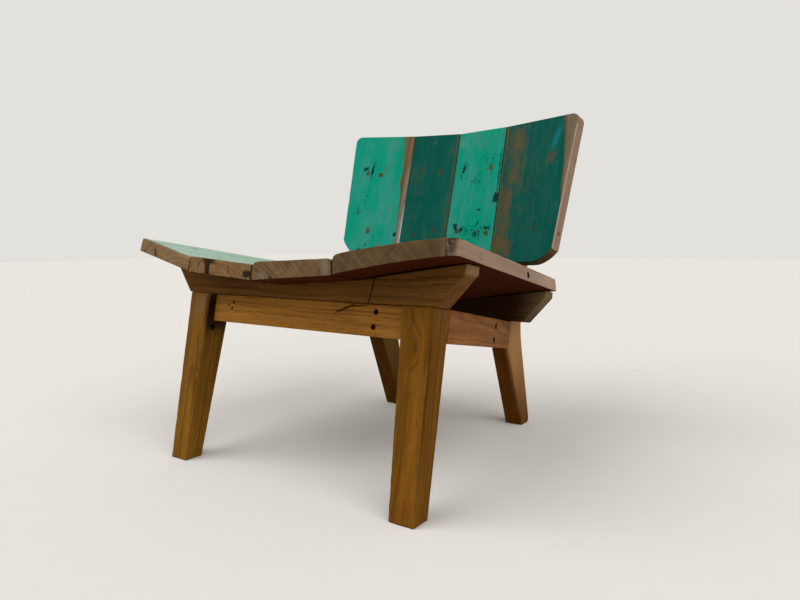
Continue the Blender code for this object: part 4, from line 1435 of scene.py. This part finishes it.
@dataclass
class Seat:
    """The hollow seat: four painted planks side by side.

    Attributes:
        rearward: rough direction of the planks.
        rises: rough direction that each plank's top faces, from left to right.
        sharp: cut of a corner that is only eased.
        crisp: ease of planks whose lower arrises are left sharp.
        rested: how far the middle planks' backs sit into the bearers.
        lip: wear along the front ends.
        shoulder: wear along the raised left sides of the last two planks.
        round_left: rounding of those sides.
        edge_hole: the old hole in the right edge.
        plug_at: place of the plug in the right edge.
        plug_radius: its radius.
        screw_rows: shares of a plank's length at which the bearers cross it.
        screw_columns: shares of its width at which its screws stand.
        screw_radius: radius of their filled holes.
    """

    rearward: Triple = (0.0, 0.987, -0.163)
    rises: tuple[Triple, ...] = (
        (0.22, 0.13, 0.97), (0.07, 0.15, 0.98), (-0.05, 0.15, 0.98), (-0.13, 0.15, 0.98),
    )
    sharp: CornerCut = CornerCut(0.0025, 0.0025)
    crisp: Pair = (0.0022, 0.0006)
    rested: float = 0.0006
    lip: Band = band(Side.NEAR, 0.8, (0, 6), (1, 6), facing=Facing.TOP)
    shoulder: Band = band(Side.LEFT, 1.0, (0, 20), (1, 14), facing=Facing.TOP)
    round_left: WornArris = WornArris((Side.LEFT, Side.OUT), (0.016, 0.012))
    edge_hole: Hole = Hole((0.3289, 0.0, 0.375), (-0.979, -0.147, -0.144), 0.0062)
    plug_at: Triple = (0.3606, -0.2513, 0.4154)
    plug_radius: float = 0.0062
    screw_rows: Pair = (0.165, 0.945)
    screw_columns: Pair = (0.24, 0.77)
    screw_radius: float = 0.0050

    def planks(self) -> list[Timber]:
        """Lists the four planks from left to right, with their wear.

        Returns:
            The planks.
        """
        plank = partial(Timber, along=self.rearward, painted=True, step=0.0035, rub=0.3)
        top, right, lip, shoulder, sharp = Facing.TOP, Facing.RIGHT, self.lip, self.shoulder, self.sharp
        first = plank(
            "seat_board_1",
            out=self.rises[0],
            slot="mint_board",
            seed=61,
            cuts=(CornerCut(0.0008, 0.0008), sharp, sharp, sharp),
            wear=(lip, *marks((-260, -100, 30, 120, 0.3), facing=top)),
            soot=marks((-324, 419, 3.6, 13, 0.85, 18), (-369, 433, 5, 16, 0.45, 15)),
            silver=marks((-300, 420, 200, 50, 0.5)),
            heart=(0.05, -0.05),
            widen=(0.005, 0.0),
        )
        second = plank(
            "seat_board_2",
            out=self.rises[1],
            slot="mint_board",
            seed=73,
            wear=(lip, *marks((-120, -100, 30, 140, 0.24), facing=top)),
            soot=marks(
                (-157, 405, 23, 6, 0.95, -4), (-159.5, 393, 8, 17, 1.1, 4), (-50, 383, 13, 7.5, 1.05),
                (-60, 378, 7, 4, 0.6), (-100, 389, 3.4, 12, 0.8, 5), (-185, 399, 3, 16, 0.65, -5),
            ),
            heart=(0.0, -0.03),
            ease=self.crisp,
            thicken=self.rested,
        )
        third = plank(
            "seat_board_3",
            out=self.rises[2],
            slot="emerald_board",
            seed=87,
            worn=(self.round_left, WornArris((Side.RIGHT, Side.OUT), (0.008, 0.006))),
            wear=(
                shoulder,
                lip,
                *marks(
                    (50, -120, 30, 110, 0.24), (105, 20, 12, 40, 0.42), (15, -250, 10, 30, 0.45),
                    (85, -300, 14, 16, 0.5),
                    facing=top,
                ),
            ),
            soot=marks(
                (62, -60, 18, 50, 0.4), (20, 60, 4, 18, 1.1), (110, -200, 5, 22, 1.2),
                (85, 150, 30, 20, 0.45),
                facing=top,
            ),
            silver=marks(
                (132, 400, 10, 30, 0.34), (91.7, 398.4, 4, 20, 0.2, -8), (-11, 381, 15, 6, 0.34, -25),
                (20, 395, 30, 5, 0.18, -35),
            ),
            heart=(-0.14, -0.12),
            ease=self.crisp,
            thicken=self.rested,
        )
        fourth = plank(
            "seat_board_4",
            out=self.rises[3],
            slot="teal_board",
            seed=95,
            cuts=(sharp, CornerCut(0.0135, 0.018, straight=True), sharp, sharp),
            crown=(0.0025, 0.0030),
            worn=(self.round_left,),
            holes=(self.edge_hole,),
            wear=(
                shoulder,
                lip,
                band(Side.RIGHT, 0.9, (0, 8), (0.5, 5), (1, 7), facing=top),
                *marks(
                    (250, -150, 60, 140, 0.26), (200, 50, 20, 60, 0.48), (320, -280, 20, 40, 0.52),
                    (185, -230, 12, 50, 0.45), (290, 120, 14, 30, 0.5),
                    facing=top,
                ),
            ),
            silver=(
                band(Side.RIGHT, 0.78, (0, 500), (1, 500), facing=right),
                # Past 1, this mark paints the rear of the right edge lighter, as painted light.
                *marks((150, 370, 260, 150, 1.15), facing=right),
                *marks(
                    (353, 430, 6, 30, 0.26), (175, 405, 3, 30, 0.26, 52), (205, 406, 5, 30, 0.3, 50),
                    (230, 410, 3, 30, 0.26, 50), (248, 412, 2.5, 30, 0.28, 48), (270, 415, 4, 30, 0.26, 50),
                    (300, 420, 3, 30, 0.26, 50),
                ),
            ),
            soot=(
                *marks((362.2, 431, 8.5, 26, 0.7)),
                *marks((-344, 430, 7, 22, 0.56), facing=right),
                *marks((235, -20, 20, 40, 0.35), facing=top),
            ),
            heart=(0.30, -0.30),
        )
        return close_seams([first, second, third, fourth])

    def putty(self, name: str, planks: list[Timber], finish: Putty) -> bpy.types.Object:
        """Fills the holes of the screws that hold planks to the two bearers, at shares of each plank.

        Args:
            name: the piece's name.
            planks: the planks that carry them.
            finish: the filling.

        Returns:
            One piece with all the discs.
        """
        centres, headings = [], []
        for plank, row, column in itertools.product(planks, self.screw_rows, self.screw_columns):
            bulge = plank.crown[0] * 4 * column * (1 - column)
            flat = plank.place(np.array(column), np.array(row), np.array(1.0))
            centres.append(flat + bulge * plank.axes[2])
            headings.append(plank.normal(Side.OUT))
        radii = [self.screw_radius] * len(centres)
        return plug_piece(name, centres, headings, radii, finish)

    def plug(self, plank: Timber) -> bpy.types.Object:
        """Sets the wooden plug in the right edge of the last plank.

        Args:
            plank: the plank that carries it.

        Returns:
            The plug.
        """
        normal = plank.normal(Side.RIGHT)
        centre = np.array(self.plug_at)
        centre += normal * plank.depth_below(centre[None], Side.RIGHT)
        finish = Putty("teak plug", "#8E7660", "#73604C")
        return plug_piece("seat_plug", [centre], [normal], [self.plug_radius], finish)


@dataclass
class Legs:
    """The two tapered front legs, leaning forward at the foot.

    Attributes:
        up: rough direction of the legs.
        front: rough direction of their front faces.
        ease: radius of their rounded arrises.
        foot: cut of the foot's corners.
        tight: cut of the upper corners, under the bearer.
        peg: the old hole in the left leg's inner side.
    """

    up: Triple = (0.0, 0.18, 0.98)
    front: Triple = (0.0, -0.98, 0.18)
    ease: Pair = (0.0032, 0.0032)
    foot: CornerCut = CornerCut(0.0025, 0.0025)
    tight: CornerCut = CornerCut(0.0004, 0.0004)
    peg: Hole = Hole((-0.2405, -0.2810, 0.2676), (-1.0, 0.0, 0.0), 0.0060)

    def timbers(self) -> list[Timber]:
        """Lists the left leg, with painted shade at its top beside the apron, and the right leg with its
        knot.

        Returns:
            The legs.
        """
        cuts = (self.foot, self.foot, self.tight, self.tight)
        leg = partial(Timber, along=self.up, out=self.front, slot="golden_teak", ease=self.ease, cuts=cuts)
        # Painted shade darkens the top of the left leg's inner side, under the seat.
        shade = marks((-275, 300, 60, 60, 0.85), facing=Facing.RIGHT)
        return [
            leg(
                "front_leg_left",
                seed=105,
                holes=(self.peg,),
                # Its second mark is painted shade down the top of the front, beside the inner arris.
                soot=(*shade, *marks((-243.5, 305, 7, 60, 0.62))),
                silver=marks((-265, 320, 40, 50, 0.22)),
            ),
            leg(
                "front_leg_right",
                seed=117,
                # A dark line runs down its front close to the outer arris.
                soot=marks(
                    (271.1, 271, 8, 18, 0.52), (271.1, 268, 15, 34, 0.4), (299.8, 180, 2.8, 160, 0.6),
                ),
                widen=(0.004, 0.0),
                knots=marks((271.1, 272, 12, 30, 0.006)),
                silver=marks((-270, 320, 50, 50, 0.14), facing=Facing.RIGHT),
            ),
        ]


@dataclass
class Aprons:
    """The four rails under the seat.

    Attributes:
        crosswise: grain of the front and rear rails.
        lengthwise: rough grain of the side rails, by side.
        forward: rough direction of the front and rear rails' best faces.
        outward: rough direction of the side rails' best faces, by side.
        holes: old bolt and nail holes in the front rail, each as its place and radius.
        side_holes: old bolt holes in the right rail.
        fine: spacing of the front rail's points, which its cracks need.
    """

    crosswise: Triple = (1.0, 0.0, 0.0)
    lengthwise: tuple[Triple, Triple] = ((0.21, 0.96, -0.16), (-0.21, 0.96, -0.16))
    forward: Triple = (0.0, -0.987, 0.163)
    outward: tuple[Triple, Triple] = ((-0.975, 0.218, -0.036), (0.975, 0.218, -0.036))
    holes: tuple[tuple[Triple, float], ...] = (
        ((0.1749, -0.2755, 0.3211), 0.0045),
        ((0.1714, -0.2797, 0.2957), 0.0045),
        ((-0.1818, -0.2757, 0.3198), 0.0028),
        ((-0.1859, -0.2777, 0.3077), 0.0024),
        ((-0.1957, -0.2768, 0.3131), 0.0016),
    )
    side_holes: tuple[tuple[Triple, float], ...] = (
        ((0.2317, 0.0602, 0.2638), 0.0064),
        ((0.2333, 0.0485, 0.2362), 0.0064),
    )
    fine: float = 0.0016

    def timbers(self) -> list[Timber]:
        """Lists the front, rear, left and right rails.

        Returns:
            The rails.
        """
        rail = partial(Timber, relief=0.4, rub=0.0)
        cross = partial(rail, along=self.crosswise, out=self.forward, slot="golden_teak")
        into, inward = (tuple(-part for part in heading) for heading in (self.forward, self.outward[1]))
        bores = tuple(Hole(at, into, radius) for at, radius in self.holes)
        side_bores = tuple(Hole(at, inward, radius) for at, radius in self.side_holes)
        (left, right), (left_out, right_out) = self.lengthwise, self.outward
        return [
            cross(
                "front_apron",
                seed=129,
                step=self.fine,
                holes=bores,
                soot=marks(
                    (105.7, 323.2, 28, 1.7, 1.2, 22), (130, 329, 26, 1.5, 1.1, 6),
                    (120, 322.5, 34, 6, 0.42, 5), (-130, 330, 40, 1.2, 0.7, 1), (20, 295, 60, 1.2, 0.6, -1),
                ),
            ),
            cross("rear_apron", seed=131),
            rail("side_apron_left", left, left_out, "red_teak", 147),
            rail("side_apron_right", right, right_out, "red_teak", 153, holes=side_bores),
        ]


@dataclass
class KeptSolids:
    """The posts, bearers, battens and screws, whose solids have their true shape and stay.

    Attributes:
        shaded_post: node of the rear post in the shade.
        post: node of the rear post that the light reaches.
        bright: node of the bearer that the light reaches.
        dark: nodes of the bearer and battens behind, in a darker teak as painted shade.
    """

    shaded_post: tuple[str, ...] = ("rear_post_left",)
    post: tuple[str, ...] = ("rear_post_right",)
    bright: tuple[str, ...] = ("front_bearer",)
    dark: tuple[str, ...] = ("rear_bearer", "upper_back_batten", "lower_back_batten")

    def dress(self, steel: ScrewSteel) -> None:
        """Gives each kept solid its finish.

        Args:
            steel: metal of the screws.
        """
        screws = tuple(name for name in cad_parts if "_screw_" in name)
        finishes = (
            (screws, steel.material()),
            (self.shaded_post, SHADED_POST_TEAK.material(Run.UPRIGHT)),
            (self.post, POST_TEAK.material(Run.UPRIGHT)),
            (self.bright, DARK_TEAK.material(Run.CROSSWISE)),
            (self.dark, SHADED_BEARER_TEAK.material(Run.CROSSWISE)),
        )
        for names, material in finishes:
            for name in names:
                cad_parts[name].data.materials[0] = material
                LOG.info("%s: kept, in %s", name, material.name)


@dataclass
class Studio:
    """A plain pale floor, soft light from the front left and the right, and the photograph's camera.

    Attributes:
        floor_half: half the side of the floor.
        floor_colour: colour of the floor.
        backdrop: colour that the camera sees past the floor.
        sky_colour: colour of the light from all round.
        sky: its strength.
        lamps: direction towards each lamp, strength and spread in radians.
        camera_at: the camera's place.
        yaw: its turn to the left, in degrees.
        pitch: its tilt down.
        roll: its roll.
        lens: focal length, in millimetres.
        sensor: width of its sensor, in millimetres.
    """

    floor_half: float = 14.0
    floor_colour: str = "#DEDBD6"
    backdrop: str = "#E3E1DC"
    sky_colour: str = "#FFFCF6"
    sky: float = 0.42
    lamps: tuple[tuple[Triple, float, float], ...] = (
        ((-0.45, -0.55, 0.70), 1.70, 1.0),
        ((0.74, -0.36, 0.68), 1.60, 0.9),
    )
    camera_at: Triple = (0.8325, -1.1432, 0.4420)
    yaw: float = 35.02
    pitch: float = 5.29
    roll: float = -0.26
    lens: float = 29.14
    sensor: float = 36.0

    def build_floor(self) -> None:
        """Lays the floor.

        It is a square grid of places (x, y) at height 0, in matt painted board mottled at 40 mm.
        """
        steps = np.linspace(-1, 1, 9)
        along, across = np.meshgrid(steps, steps, indexing="ij")
        points = np.stack([across, along, 0 * along], axis=-1).reshape(-1, 3) * self.floor_half
        floor = mesh_piece("floor", points, grid_faces(np.arange(along.size).reshape(along.shape)))
        material, nodes = blank("matt painted board")
        mottle = nodes.add("TexNoise", {"Vector": nodes.place(), "Scale": 25.0, "Detail": 2.0})
        colour = nodes.times(linear(self.floor_colour)[:3], nodes.ramp(mottle, 0.0, 1.0, 0.985, 1.015))
        nodes.shade(Base_Color=colour, Roughness=0.9, Specular_IOR_Level=0.1)
        floor.data.materials.append(material)

    def build_light(self) -> None:
        """Sets the lamps and the world.

        The world lights evenly but looks like the backdrop to the camera, in mirrors and through glass.
        """
        for number, (towards, strength, spread) in enumerate(self.lamps, 1):
            lamp = bpy.data.lights.new(f"soft_lamp_{number}", "SUN")
            lamp.energy, lamp.angle = strength, spread
            holder = bpy.data.objects.new(lamp.name, lamp)
            direction = np.array(towards) / np.linalg.norm(towards)
            turn = math.atan2(direction[0], -direction[1])
            tilt = math.acos(direction[2])
            holder.matrix_world = Matrix.Rotation(turn, 4, "Z") @ Matrix.Rotation(tilt, 4, "X")
            bpy.context.scene.collection.objects.link(holder)
        world = bpy.data.worlds.new("soft studio")
        bpy.context.scene.world = world
        world.use_nodes = True
        nodes = Nodes(world.node_tree)
        nodes.tree.nodes.clear()
        ray = nodes.add("LightPath", {}).node.outputs
        seen = nodes.math("MAXIMUM", ray["Is Camera Ray"], ray["Is Glossy Ray"])
        seen = nodes.math("MAXIMUM", seen, ray["Is Transmission Ray"])
        even = nodes.add("Background", {"Color": linear(self.sky_colour), "Strength": self.sky})
        shown = nodes.add("Background", {"Color": linear(self.backdrop), "Strength": 1.0})
        both = nodes.add("MixShader", {0: seen, 1: even, 2: shown})
        nodes.wire(nodes.tree.nodes.new("ShaderNodeOutputWorld"), {"Surface": both})

    def build_camera(self) -> None:
        """Places the camera.

        It is turned about Z by the yaw, tilted down by the pitch, then rolled.
        """
        data = bpy.data.cameras.new("photo_camera")
        data.lens, data.sensor_width = self.lens, self.sensor
        camera = bpy.data.objects.new("photo_camera", data)
        camera.matrix_world = (
            Matrix.Translation(self.camera_at)
            @ Matrix.Rotation(math.radians(self.yaw), 4, "Z")
            @ Matrix.Rotation(math.radians(90 - self.pitch), 4, "X")
            @ Matrix.Rotation(math.radians(self.roll), 4, "Z")
        )
        bpy.context.scene.collection.objects.link(camera)
        bpy.context.scene.camera = camera
        bpy.context.scene.view_settings.view_transform = "Standard"


LEFT_LEG_TEAK = Teak(
    "oiled golden teak", "#825A1C", "#50320E", "#9C7335", ring=0.0038, line=0.5, pith=(0.015, -0.060),
    drift=0.010,
)
RIGHT_LEG_TEAK = replace(
    LEFT_LEG_TEAK, name="oiled brown teak", early="#7A5016", late="#4A2C08", rubbed="#8E6428"
)
# The pale span on the right post's outer side is partly pale outer wood, partly painted light on its lit
# side.
POST_TEAK = Teak(
    "oiled post teak", "#62390A", "#422305", "#7E5520", silver="#9B7447", line=0.15, pith=(0.015, -0.060),
    sapwood_and_painted_light=(0.188, 0.201),
)
# A darker copy of the post teak, as painted shade on the left post; its pale span is painted light on that
# post's lit inner face.
SHADED_POST_TEAK = replace(
    POST_TEAK, name="oiled shaded post teak", early="#5A3606", late="#3B2004", silver="#785A2C",
    sapwood_and_painted_light=(-0.1562, -0.1556),
)
APRON_TEAK = replace(
    LEFT_LEG_TEAK, name="oiled orange teak", early="#A2702E", late="#663F17", rubbed="#9A6C36", line=0.36,
    pith=(0.030, -0.090),
)
RED_TEAK = replace(
    LEFT_LEG_TEAK, name="oiled red teak", early="#956030", late="#5E361A", rubbed="#A27850", ring=0.0042,
    line=0.55, pith=(-0.020, -0.080),
)
DARK_TEAK = Teak(
    "smoked dark teak", "#744E22", "#462B0F", "#7E5A30", silver="#7E6242", ring=0.007, pith=(0.0, 0.2),
    sapwood_and_painted_light=(0.346, 0.352), split=(0.0698, 0.29),
)
# A darker teak as painted shade on the rear bearer and battens; its pale span paints light on the bearer's
# right end.
SHADED_BEARER_TEAK = Teak(
    "black teak in painted shade", "#38200A", "#1E0F03", "#4A3014", silver="#6E5A40", ring=0.007, pith=(0.0, 0.2),
    sapwood_and_painted_light=(0.215, 0.300),
)
# Its colour for the back is unsunned wood darkened as painted shade under the seat.
PLANK_TEAK = Teak(
    "weathered plank teak", "#806648", "#523F2A", "#8C7350", silver="#9C9692", unsunned_and_shade="#3A1201", ring=0.009,
    line=0.5, pith=(0.0, -0.03), roughness=0.7,
)
SAWN_PLANK_TEAK = replace(
    PLANK_TEAK, name="sawn plank teak", early="#6A5337", late="#463726", silver="#9A8270", line=0.3
)
PALE_PLANK_TEAK = replace(
    PLANK_TEAK, name="sunned plank teak", early="#94724A", late="#604730", silver="#8C7658"
)
EMERALD = PaintedTeak(
    "emerald boat paint on teak", "#08866E", "#328576", "#08745F", "#428577", PLANK_TEAK, smut=0.67
)
TEAL = PaintedTeak(
    "dark teal boat paint on teak", "#064B41", "#1A5147", "#043A31", "#0F6468", SAWN_PLANK_TEAK, veil=0.70
)
MINT = PaintedTeak(
    "mint boat paint on teak", "#9AB5A4", "#B2C2B2", "#5A8878", "#7FA394", PALE_PLANK_TEAK, brush=0.9,
    stroke=(0.34, 0.007),
)
PAINTS = {"emerald_board": EMERALD, "teal_board": TEAL, "mint_board": MINT}
PAINTED_PUTTY = Putty("painted putty", "#8CA898", "#7A9A8A")


def main() -> None:
    """Builds the studio and the chair's pieces in order.

    The screws of the seat's mint planks were painted over with them; the others show their putty.
    """
    logging.basicConfig(level=logging.INFO, format="%(name)s: %(message)s")
    studio = Studio()
    studio.build_camera()
    studio.build_floor()
    studio.build_light()
    paints = {slot: paint.material() for slot, paint in PAINTS.items()}
    back, seat = Back(), Seat()
    back_planks, seat_planks = back.planks(), seat.planks()
    for plank in back_planks + seat_planks:
        plank.build(paints[plank.slot])
    back.putty(back_planks)
    seat.putty("seat_putty", seat_planks[2:], Putty())
    seat.putty("seat_painted_putty", seat_planks[:2], PAINTED_PUTTY)
    seat.plug(seat_planks[-1])
    for leg, teak in zip(Legs().timbers(), (LEFT_LEG_TEAK, RIGHT_LEG_TEAK)):
        leg.build(teak.material())
    rails = {"golden_teak": APRON_TEAK.material(), "red_teak": RED_TEAK.material()}
    for rail in Aprons().timbers():
        rail.build(rails[rail.slot])
    KeptSolids().dress(ScrewSteel())


if __name__ == "__main__":
    main()
